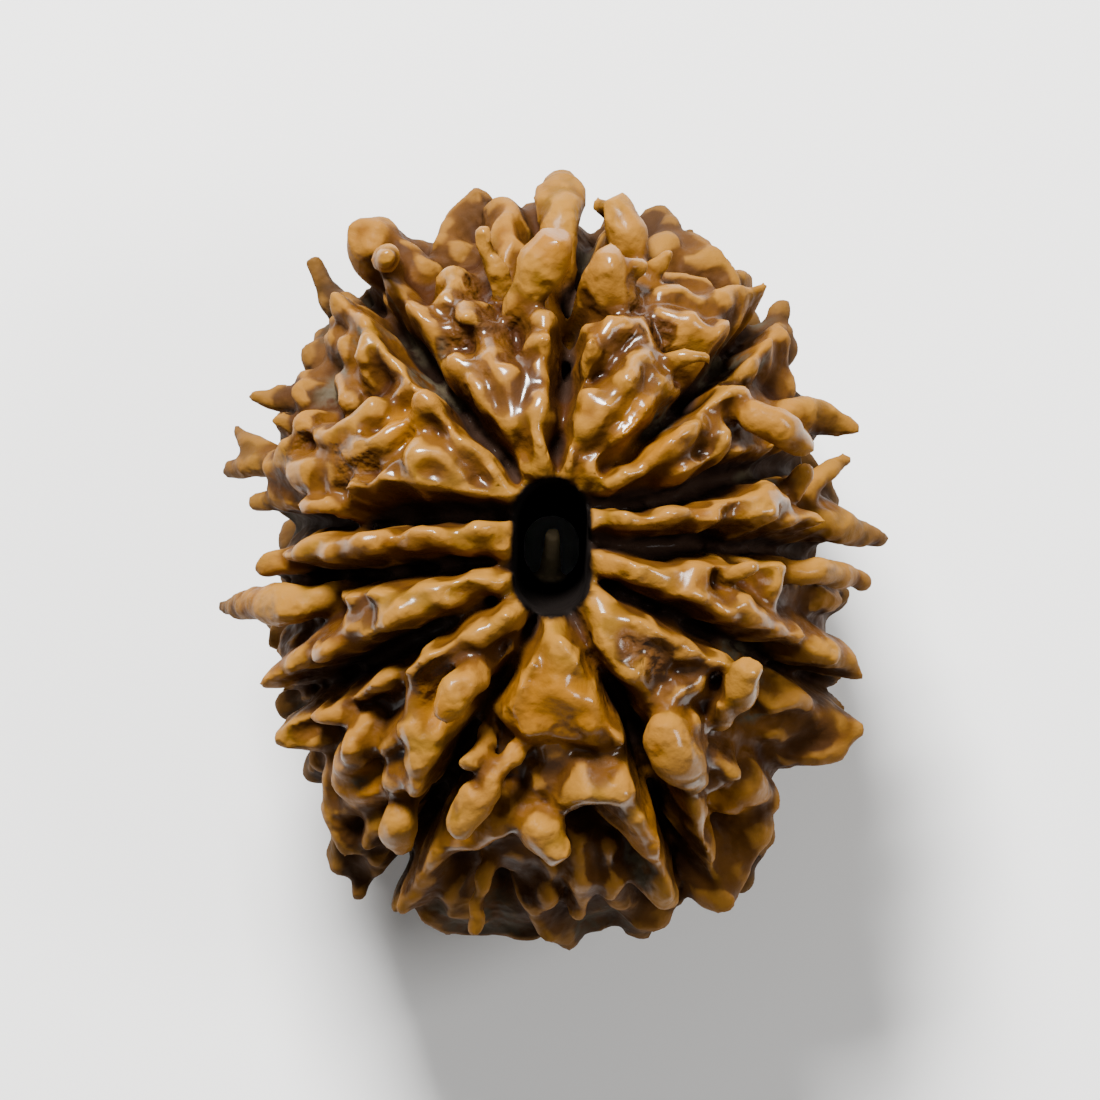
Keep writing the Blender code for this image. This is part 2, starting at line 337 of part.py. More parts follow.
# Hollows in the lobes: (x, y, radius, depth) in mm.
HOLLOWS = (
    (1.3, -7.3, 0.6, 1.4), (1.7, -9.7, 1.2, 2.2), (2.7, -10.1, 0.8, 1.8), (-3.3, -11.5, 0.7, 2.0),
    (-1.7, -11.2, 0.6, 2.0), (3.9, 10.3, 0.5, 1.6), (-2.9, 10.1, 0.55, 1.5), (-2.2, 10.9, 0.35, 1.5),
    (7.6, 5.9, 0.5, 1.5), (7.8, 2.5, 0.7, 1.5), (-7.5, -2.4, 0.6, 1.5), (-6.7, -9.4, 0.6, 1.6),
    (-6.5, -6.2, 0.9, 1.8), (-1.5, -3.4, 0.6, 1.4), (-8.8, 3.8, 0.35, 1.2), (-6.8, 5.7, 0.7, 1.2),
    (-4.0, 6.6, 0.5, 1.0), (7.0, -1.3, 0.5, 1.4), (4.7, 5.9, 0.5, 1.0), (-7.5, 3.3, 0.4, 1.2),
    (6.5, -5.7, 0.5, 1.3), (-5.8, -7.4, 0.5, 1.2), (-1.6, -8.3, 0.5, 1.0),
)

# The lower half repeats the upper half's lobes turned this many lobes round, kept inside this
# share of the rim and below this lift near it.
LOWER_TURN = 4
LOWER_REACH = 0.97
LOWER_LIFT = 1.9


def cleft_angles(radius):
    """Each cleft's angle at a distance from the hole's axis, anticlockwise, as an array."""
    angles = []
    for line in CLEFTS:
        points = np.array(line)
        reach = np.hypot(points[:, 0], points[:, 1])
        turned = np.unwrap(np.arctan2(points[:, 1], points[:, 0]))
        angles.append(np.interp(radius, reach, turned))
    return np.unwrap(np.array(angles), axis=0)


def rim_radius(angle):
    """How far the rim of the bead is from the hole's axis in a direction."""
    return 1 / math.hypot(math.cos(angle) / (CORE_X + LOBE_LIFT), math.sin(angle) / (CORE_Y + LOBE_LIFT))


def moved_to_lobe(x, y, turn):
    """The place that (x, y) takes when its lobe's form is repeated some lobes further round."""
    count = len(CLEFTS)
    radius = math.hypot(x, y)
    here = cleft_angles(radius)
    angle = here[0] + (math.atan2(y, x) - here[0]) % math.tau
    edges = np.append(here, here[0] + math.tau)
    lobe = int(np.clip(np.searchsorted(edges, angle) - 1, 0, count - 1))
    share = (angle - edges[lobe]) / (edges[lobe + 1] - edges[lobe])
    new_lobe = (lobe + turn) % count
    new_radius = radius
    for _ in range(3):
        there = cleft_angles(new_radius)
        edges = np.append(there, there[0] + math.tau)
        new_angle = edges[new_lobe] + share * (edges[new_lobe + 1] - edges[new_lobe])
        new_radius = radius * rim_radius(new_angle) / rim_radius(angle)
    return new_radius * math.cos(new_angle), new_radius * math.sin(new_angle)


def station(x, y, lift, side):
    """The direction from the stone's middle to (x, y) on its upper or lower side, and the lift.

    A station beyond the rim is lifted until the rim reaches it.
    """
    x, y = x + HOLE_X, y + HOLE_Y
    while math.hypot(x / (CORE_X + lift), y / (CORE_Y + lift)) > 1:
        lift += RIM_STEP
    across, along = x / (CORE_X + lift), y / (CORE_Y + lift)
    up = math.sqrt(1 - across**2 - along**2)
    return np.array((across, along, side * up)), lift


def both_sides(lines):
    """The lines of the upper half as (line, side), and their turned repeats on the lower half."""
    found = []
    for line in lines:
        below = []
        for x, y, *rest in line:
            x, y = moved_to_lobe(x, y, LOWER_TURN)
            inward = min(1, LOWER_REACH * rim_radius(math.atan2(y, x)) / math.hypot(x, y))
            if len(rest) == 2 and inward < 1 / LOWER_REACH:
                rest[0] = min(rest[0], LOWER_LIFT)
            below.append((x * inward, y * inward, *rest))
        found += [(line, 1), (tuple(below), -1)]
    return found


def smooth_max(first, second, reach):
    """The greater of two lifts, with a rounded change from one to the other."""
    overlap = np.maximum(reach - np.abs(first - second), 0) / reach
    return np.maximum(first, second) + overlap**2 * reach / 4


def on_surface(line, side):
    """A line of (x, y, first, second) as rows of (place on the lobes, first, second).

    Where two stations are far apart, others are set between them, so the line follows the body.
    """
    rows = []
    for x, y, *values in line:
        direction, values[0] = station(x, y, values[0], side)
        rows.append(np.array((*direction, *values)))
    return filled_in(rows)


def filled_in(rows):
    """Rows of (direction, values) with others between them, and directions turned into places."""
    filled = [rows[0]]
    for last, row in zip(rows, rows[1:]):
        count = 1 + int(np.linalg.norm(row[:3] - last[:3]) / STATION_ANGLE)
        for step in range(1, count + 1):
            filled.append(last + (row - last) * step / count)
    filled = np.array(filled)
    filled[:, :3] /= np.linalg.norm(filled[:, :3], axis=1, keepdims=True)
    filled[:, :3] *= CORE + LOBE_LIFT
    return filled


def along_line(places, line):
    """The distance of each place to a line, with the line's two values where it is nearest.

    Only places near the line are measured: the last result says which.
    """
    middle = (line[:, :3].min(axis=0) + line[:, :3].max(axis=0)) / 2
    reach = (line[:, :3].max(axis=0) - line[:, :3].min(axis=0)) / 2 + LINE_REACH
    near = (np.abs(places - middle) < reach).all(axis=1)
    there = places[near]
    distance = np.full(len(there), np.inf)
    values = np.zeros((len(there), 2))
    for start, end in zip(line, line[1:]):
        run = end[:3] - start[:3]
        share = np.clip((there - start[:3]) @ run / (run @ run), 0, 1)
        away = np.linalg.norm(there - start[:3] - share[:, None] * run, axis=1)
        closer = away < distance
        distance = np.where(closer, away, distance)
        here = start[3:] + share[:, None] * (end[3:] - start[3:])
        values = np.where(closer[:, None], here, values)
    return distance, values[:, 0], values[:, 1], near


def belt_ridges():
    """Short ridges round the widest part, some across each lobe, drawn by a seeded rule."""
    draw = random.Random(BELT_SEED)
    angles = cleft_angles(CORE_Y)
    found = []
    for start, end in zip(angles, [*angles[1:], angles[0] + math.tau]):
        columns = max(1, round((end - start) * CORE_X / BELT_SPACING))
        for up in BELT_LEVELS:
            for column in range(columns):
                angle = start + (end - start) * (column + draw.uniform(0.3, 0.7)) / columns
                level = up + draw.uniform(-0.06, 0.06)
                lean = draw.uniform(-0.06, 0.06)
                rise = draw.uniform(0.05, 0.11)
                crest = draw.uniform(*BELT_LIFTS)
                radius = draw.uniform(0.35, 0.55)
                rows = []
                for share in (-1, 0, 1):
                    turned = angle + share * lean
                    height = level + share * rise
                    flat = math.sqrt(1 - height**2)
                    direction = (flat * math.cos(turned), flat * math.sin(turned), height)
                    swell = swell_lift(np.array([direction]) * (CORE + LOBE_LIFT))[0]
                    rows.append(np.array((*direction, crest + swell - 0.2 * abs(share), radius)))
                found.append(filled_in(rows))
    return found


def wandered(places):
    """The places moved a little by smooth noise, so that lines drawn on them aren't straight."""
    shifts = [noise.noise_vector(Vector(place / WANDER_LENGTH)) for place in places]
    return places + WANDER * np.array(shifts)


def bump(places, x, y, size, side):
    """A rounded bump, 1 high at (x, y), that fades out over a size."""
    centre = station(x, y, LOBE_LIFT, side)[0] * (CORE + LOBE_LIFT)
    gap = np.linalg.norm(places - centre, axis=1)
    return np.exp(-((gap / size) ** 2))


def swell_lift(places):
    """How far the places are lifted by the swells, which are alike on both sides."""
    lift = np.zeros(len(places))
    for x, y, size, height in SWELLS:
        lift += height * np.maximum(bump(places, x, y, size, 1), bump(places, x, y, size, -1))
    return lift


def cleft_gap(places):
    """How far each place is from the nearest cleft's edge, negative inside the cleft."""
    gap = np.full(len(places), LINE_REACH)
    for cleft in CLEFTS:
        (last_x, last_y, width), (from_x, from_y, _) = cleft[-1], cleft[-2]
        cleft_to_rim = (*cleft, (2 * last_x - from_x, 2 * last_y - from_y, width))
        for side in (1, -1):
            line = on_surface([(x, y, LOBE_LIFT, width) for x, y, width in cleft_to_rim], side)
            distance, _, half_width, near = along_line(places, line)
            gap[near] = np.minimum(gap[near], distance - half_width)
    return gap


def noise_at(places, length):
    """Smooth noise with blotches of a length, for each place."""
    return np.array([noise.noise(Vector(place / length)) for place in places])


def surface_lift(directions):
    """How far the body rises above the core in each direction: lobes, ridges, clefts, hollows."""
    places = directions * (CORE + LOBE_LIFT)
    drawn_on = wandered(places)
    rough = noise_at(places, ROUGH_LENGTH)
    gap = cleft_gap(drawn_on) + CLEFT_RAGGED * rough
    rim = np.clip(1 - np.abs(directions[:, 2]) / RIM_ZONE, 0, 1)
    floor = CLEFT_FLOOR + (CLEFT_FLOOR_AT_RIM - CLEFT_FLOOR) * rim

    from_hole = np.clip(np.hypot(places[:, 0], places[:, 1]) / HOLE_DIP_REACH, 0, 1)
    lift = LOBE_LIFT_AT_HOLE + (LOBE_LIFT - LOBE_LIFT_AT_HOLE) * from_hole**2
    lift += LUMP_HEIGHT * noise_at(places, LUMP_LENGTH)
    shoulder = np.clip(gap / LOBE_SHOULDER, 0, 1)
    lift = floor + (lift - floor) * shoulder * (2 - shoulder)
    lift += swell_lift(places)
    for line, side in both_sides([(hollow,) for hollow in HOLLOWS]):
        x, y, size, depth = line[0]
        lift -= depth * bump(drawn_on, x, y, size, side)
    ridges = [on_surface(line, side) for line, side in both_sides(RIDGES)]
    for line in ridges + belt_ridges():
        distance, crest, radius, near = along_line(drawn_on, line)
        radius *= 1 + RIDGE_SWELL * rough[near]
        crest += RIDGE_CROWN * radius + RIDGE_ROUGH * rough[near]
        turn = RIDGE_ROUNDNESS * RIDGE_SLOPE * radius
        ridge = crest - RIDGE_SLOPE * (np.hypot(distance, turn) - turn)
        lift[near] = smooth_max(lift[near], ridge, BLEND)
    wall = floor + CLEFT_SLOPE * np.maximum(gap, 0)
    return -smooth_max(-lift, -wall, BLEND)


def make_core():
    """The body with its lobes, ridges and clefts, before any horn stands on it."""
    mesh = bpy.data.meshes.new("core")
    shape = bmesh.new()
    bmesh.ops.create_icosphere(shape, subdivisions=CORE_SUBDIVISIONS, radius=1)
    shape.to_mesh(mesh)
    shape.free()
    directions = np.empty(len(mesh.vertices) * 3, np.float32)
    mesh.vertices.foreach_get("co", directions)
    directions = directions.reshape(-1, 3).astype(float)
    points = directions * (CORE + surface_lift(directions)[:, None]) * MM
    mesh.vertices.foreach_set("co", points.astype(np.float32).ravel())
    return mesh


def add_horn(curve, points, radii):
    """A smooth round rod along the points, with a rounded nose at both ends."""
    first = points[0] + (points[0] - points[1]).normalized() * radii[0]
    last = points[-1] + (points[-1] - points[-2]).normalized() * (radii[-1] + TIP_LOSS)
    places = [first, *points, last]
    widths = [max(radius, THINNEST_HORN) * HORN_GROWTH for radius in radii]
    sizes = [radii[0] * 0.3, *widths, widths[-1] * 0.62]
    spline = curve.splines.new("NURBS")
    spline.points.add(len(places) - 1)
    for knot, place, size in zip(spline.points, places, sizes):
        knot.co = (*(place * MM), 1)
        knot.radius = size
    spline.order_u = 3
    spline.use_endpoint_u = True
    spline.resolution_u = 5


def make_horns():
    """A mesh of every horn, each a closed rod that starts inside the lobe."""
    curve = bpy.data.curves.new("horns", "CURVE")
    curve.dimensions = "3D"
    curve.bevel_depth = MM
    curve.bevel_resolution = 2
    curve.use_fill_caps = True
    for line, side in both_sides(HORNS):
        x, y, lift, root_radius = line[0]
        points = [Vector(station(x, y, lift, side)[0] * (CORE + ROOT_LIFT))]
        for x, y, lift, _ in line:
            direction, lift = station(x, y, lift, side)
            points.append(Vector(direction * (CORE + lift)))
        add_horn(curve, points, [root_radius, *(radius for *_, radius in line)])
    holder = bpy.data.objects.new("horns", curve)
    bpy.context.scene.collection.objects.link(holder)
    bpy.context.view_layer.update()
    graph = bpy.context.evaluated_depsgraph_get()
    mesh = bpy.data.meshes.new_from_object(holder.evaluated_get(graph))
    bpy.data.objects.remove(holder)
    return mesh


def make_hole_cutter():
    """The thread hole as a closed slot-shaped rod that is wide at both mouths."""
    levels = ((-14, 1.0), (-7.5, 1.0), (-3, 0.0), (2, 0.0), (6.5, 0.8), (9, 1.0), (14, 1.0))
    shape = bmesh.new()
    rings = []
    for height, openness in levels:
        width, length = (
            throat + openness * (mouth - throat) * (1 if height > 0 else 0.35)
            for mouth, throat in zip(HOLE_MOUTH, HOLE_THROAT)
        )
        straight = (length - width) / 2
        ring = []
        for side in range(HOLE_SIDES):
            angle = math.tau * side / HOLE_SIDES
            x = HOLE_X + width / 2 * math.cos(angle)
            y = HOLE_Y + width / 2 * math.sin(angle) + math.copysign(straight, math.sin(angle + 1e-6))
            ring.append(shape.verts.new((x * MM, y * MM, height * MM)))
        rings.append(ring)
    for lower, upper in zip(rings, rings[1:]):
        for side in range(HOLE_SIDES):
            after = (side + 1) % HOLE_SIDES
            shape.faces.new((lower[side], lower[after], upper[after], upper[side]))
    shape.faces.new(reversed(rings[0]))
    shape.faces.new(rings[-1])
    mesh = bpy.data.meshes.new("thread_hole")
    shape.to_mesh(mesh)
    shape.free()
    return mesh


def make_rest_cutter():
    """A block whose top face is the surface that the bead was worn flat on."""
    mesh = bpy.data.meshes.new("worn_flat")
    shape = bmesh.new()
    bmesh.ops.create_cube(shape, size=40 * MM)
    bmesh.ops.translate(shape, verts=shape.verts, vec=(0, 0, -(REST_DEPTH + 20) * MM))
    shape.to_mesh(mesh)
    shape.free()
    return mesh


def make_fibre():
    """The stub of pith fibre that leans out of the hole's wall, as a tapered rod."""
    root, tip = Vector(FIBRE_ROOT), Vector(FIBRE_TIP)
    mesh = bpy.data.meshes.new("fibre")
    shape = bmesh.new()
    bmesh.ops.create_cone(
        shape,
        cap_ends=True,
        segments=FIBRE_SIDES,
        radius1=FIBRE_RADII[0] * MM,
        radius2=FIBRE_RADII[1] * MM,
        depth=(tip - root).length * MM,
    )
    turn = (tip - root).to_track_quat("Z", "Y").to_matrix().to_4x4()
    bmesh.ops.transform(shape, verts=shape.verts, matrix=turn)
    bmesh.ops.translate(shape, verts=shape.verts, vec=(root + tip) / 2 * MM)
    shape.to_mesh(mesh)
    shape.free()
    return mesh


def add_helper(name, mesh, parent):
    """A helper object that only shapes the bead."""
    helper = bpy.data.objects.new(name, mesh)
    bpy.context.scene.collection.objects.link(helper)
    helper.parent = parent
    helper.display_type = "WIRE"
    helper.hide_render = True
    return helper


def shell_material():
    """Oiled woody shell, ochre brown."""
    material = bpy.data.materials.new("oiled_shell")
    material.use_nodes = True
    shader = material.node_tree.nodes["Principled BSDF"]
    shader.inputs["Base Color"].default_value = (0.33, 0.14, 0.03, 1)
    shader.inputs["Roughness"].default_value = 0.36
    shader.inputs["Metallic"].default_value = 0
    return material


def make_bead():
    """The bead: core and horns fused, pierced, thinned and worn flat underneath."""
    mesh = make_core()
    bead = bpy.data.objects.new("rudraksha_bead", mesh)
    bpy.context.scene.collection.objects.link(bead)
    shape = bmesh.new()
    shape.from_mesh(mesh)
    shape.from_mesh(make_horns())
    shape.to_mesh(mesh)
    shape.free()
    mesh.materials.clear()
    mesh.materials.append(shell_material())
    bead.location = (0, 0, REST_DEPTH * MM)

    hole = add_helper("thread_hole", make_hole_cutter(), bead)
    fibre = add_helper("fibre", make_fibre(), bead)
    flat = add_helper("worn_flat", make_rest_cutter(), bead)

    lumps = bead.modifiers.new("lumps", "DISPLACE")
    lumps.texture = bpy.data.textures.new("lumps", "CLOUDS")
    lumps.texture.noise_scale = LUMPS_APART * MM
    lumps.texture.noise_depth = 1
    lumps.strength = LUMPS_RISE * MM
    fuse = bead.modifiers.new("fuse", "REMESH")
    fuse.mode = "VOXEL"
    fuse.voxel_size = VOXEL * MM
    pierce = bead.modifiers.new("pierce", "BOOLEAN")
    pierce.object = hole
    pierce.operation = "DIFFERENCE"
    stub = bead.modifiers.new("stub", "BOOLEAN")
    stub.object = fibre
    stub.operation = "UNION"
    blend = bead.modifiers.new("blend", "REMESH")
    blend.mode = "VOXEL"
    blend.voxel_size = VOXEL * MM
    soften = bead.modifiers.new("soften", "SMOOTH")
    soften.factor = 0.5
    soften.iterations = SMOOTH_PASSES
    thin = bead.modifiers.new("thin", "DECIMATE")
    thin.ratio = KEPT_SHARE
    wear = bead.modifiers.new("wear", "BOOLEAN")
    wear.object = flat
    wear.operation = "DIFFERENCE"
    return bead


def main():
    for obj in list(bpy.data.objects):
        bpy.data.objects.remove(obj)
    make_bead()


main()
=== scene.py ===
"""The dressed eleven-faced rudraksha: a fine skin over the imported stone, and the set."""

import json
import math
import random

import bmesh
import bpy
import numpy as np
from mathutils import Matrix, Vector, noise

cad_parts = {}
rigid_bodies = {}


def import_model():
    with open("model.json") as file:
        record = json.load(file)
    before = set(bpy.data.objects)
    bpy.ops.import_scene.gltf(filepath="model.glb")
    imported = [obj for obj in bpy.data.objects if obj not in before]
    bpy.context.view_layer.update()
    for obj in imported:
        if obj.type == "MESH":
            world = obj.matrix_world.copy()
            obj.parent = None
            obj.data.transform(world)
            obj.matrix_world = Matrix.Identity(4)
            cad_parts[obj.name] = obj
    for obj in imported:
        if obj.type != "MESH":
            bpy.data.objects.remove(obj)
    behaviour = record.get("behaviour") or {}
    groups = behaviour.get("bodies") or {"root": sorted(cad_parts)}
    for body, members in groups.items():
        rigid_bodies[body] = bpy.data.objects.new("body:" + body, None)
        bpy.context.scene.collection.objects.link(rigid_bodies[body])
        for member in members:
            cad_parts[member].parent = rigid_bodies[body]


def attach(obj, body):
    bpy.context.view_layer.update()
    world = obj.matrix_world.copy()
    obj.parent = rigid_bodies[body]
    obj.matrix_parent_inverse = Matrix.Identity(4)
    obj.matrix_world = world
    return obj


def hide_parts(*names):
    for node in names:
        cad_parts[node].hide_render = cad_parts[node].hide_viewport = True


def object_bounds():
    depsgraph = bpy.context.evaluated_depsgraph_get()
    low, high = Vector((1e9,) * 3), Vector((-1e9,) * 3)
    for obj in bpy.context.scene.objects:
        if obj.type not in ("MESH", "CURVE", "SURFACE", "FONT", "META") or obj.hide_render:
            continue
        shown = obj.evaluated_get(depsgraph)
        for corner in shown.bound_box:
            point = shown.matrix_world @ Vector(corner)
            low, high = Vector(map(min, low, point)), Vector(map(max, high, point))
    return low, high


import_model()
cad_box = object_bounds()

MM = 0.001

# The stone at the floor of its clefts, as half widths in mm. All lifts are measured from it.
CORE_X = 8.4
CORE_Y = 10.5
CORE_Z = 8.3
CORE = np.array((CORE_X, CORE_Y, CORE_Z))

# Where the thread hole goes through, from the middle of the stone.
HOLE_X = -0.07
HOLE_Y = 0.36

# The lobes' own surface, as a lift above the core: low round the thread hole, full outside.
LOBE_LIFT_AT_HOLE = 0.5
LOBE_LIFT = 1.15
HOLE_DIP_REACH = 4.0
LUMP_HEIGHT = 0.16
LUMP_LENGTH = 2.2

# How steeply ridges and clefts fall, how rounded, rough and uneven in width a ridge is, and how
# far two surfaces blend.
RIDGE_SLOPE = 4.8
RIDGE_ROUNDNESS = 0.52
RIDGE_CROWN = 0.5
RIDGE_ROUGH = 0.3
RIDGE_SWELL = 0.5
ROUGH_LENGTH = 0.9
LOBE_SHOULDER = 1.1
RIM_ZONE = 0.6
CLEFT_SLOPE = 6.0
CLEFT_RAGGED = 0.16
CLEFT_FLOOR = -0.7
CLEFT_FLOOR_AT_RIM = 0.5
BLEND = 0.2

# How far ridges wander from their lines.
WANDER = 0.16
WANDER_LENGTH = 1.3

# The thread hole: a slot at the upper mouth that narrows to a round channel.
HOLE_MOUTH = (2.5, 4.6)
HOLE_THROAT = (2.0, 2.3)
HOLE_SIDES = 28

# The stub of fibre in the hole, from the hole's wall to its tip.
FIBRE_ROOT = (HOLE_X - 0.1, HOLE_Y - 1.7, 0.8)
FIBRE_TIP = (HOLE_X + 0.05, HOLE_Y + 0.5, 4.6)
FIBRE_RADII = (0.5, 0.28)
FIBRE_SIDES = 9

# The worn flat under the bead, as a depth below the middle.
REST_DEPTH = 9.4

# How deep a horn's root is sunk.
ROOT_LIFT = -0.6

# Horns are drawn fatter and longer by what smoothing takes off them, and none is thinner than
# this, so that its tip doesn't break off.
HORN_GROWTH = 1.15
TIP_LOSS = 0.2
THINNEST_HORN = 0.31

# Short ridges round the widest part: how far apart, at which shares of the half height, and
# how high they lift.
BELT_SEED = 11
BELT_SPACING = 2.0
BELT_LEVELS = (-0.36, -0.16, 0.04, 0.22)
BELT_LIFTS = (1.4, 2.0)

# Lumps all over, horns too: how far apart, and how high from the lowest to the highest.
LUMPS_APART = 1.1
LUMPS_RISE = 0.45

# Resolution of the rim's height, of lines drawn on the body, and of the fused body.
RIM_STEP = 0.02
STATION_ANGLE = 0.15
LINE_REACH = 2.5
CORE_SUBDIVISIONS = 8
VOXEL = 0.14
SMOOTH_PASSES = 4
KEPT_SHARE = 0.4

# The clefts, anticlockwise from the one that runs up the picture. Each is a line of
# (x, y, half width) in mm from the thread hole to the rim, as seen from above.
CLEFTS = (
    (
        (0.1, 2.2, 0.0), (0.2, 3.6, 0.0), (0.4, 5.0, 0.04), (0.6, 7.3, 0.08),
        (0.9, 9.3, 0.1), (1.5, 11.0, 0.06),
    ),
    ((-1.2, 2.5, 0.0), (-2.3, 3.8, 0.02), (-3.5, 5.2, 0.06), (-4.5, 6.5, 0.16), (-6.8, 9.0, 0.05)),
    ((-1.2, 1.3, 0.05), (-3.3, 1.3, 0.22), (-5.0, 1.2, 0.26), (-7.0, 1.0, 0.25), (-9.7, 0.8, 0.15)),
    (
        (-1.3, -0.6, 0.0), (-3.3, -0.6, 0.1), (-5.0, -0.75, 0.12),
        (-7.0, -1.0, 0.12), (-10.0, -1.2, 0.15),
    ),
    (
        (-1.3, -1.5, 0.0), (-3.0, -2.2, 0.02), (-4.3, -3.0, 0.12), (-6.0, -3.8, 0.25),
        (-7.7, -4.7, 0.2), (-9.3, -5.2, 0.0),
    ),
    (
        (-0.5, -2.3, 0.0), (-1.2, -3.6, 0.0), (-2.0, -5.0, 0.05),
        (-3.2, -7.3, 0.12), (-5.0, -10.5, 0.0),
    ),
    ((0.7, -2.3, 0.0), (1.3, -3.7, 0.02), (2.7, -5.7, 0.1), (3.5, -8.0, 0.12), (4.7, -11.7, 0.02)),
    ((1.3, -1.0, 0.0), (3.0, -1.8, 0.1), (5.0, -2.7, 0.14), (7.0, -3.5, 0.12), (10.0, -5.0, 0.0)),
    ((1.5, 0.25, 0.05), (3.3, 0.1, 0.2), (5.0, 0.1, 0.2), (7.0, 0.1, 0.18), (10.2, -0.2, 0.15)),
    ((1.7, 1.55, 0.08), (3.0, 1.65, 0.18), (4.7, 1.9, 0.18), (6.3, 2.6, 0.28), (9.3, 3.1, 0.2)),
    ((1.8, 2.7, 0.0), (3.0, 3.4, 0.02), (4.3, 4.8, 0.04), (5.5, 5.9, 0.14), (7.7, 8.2, 0.05)),
)

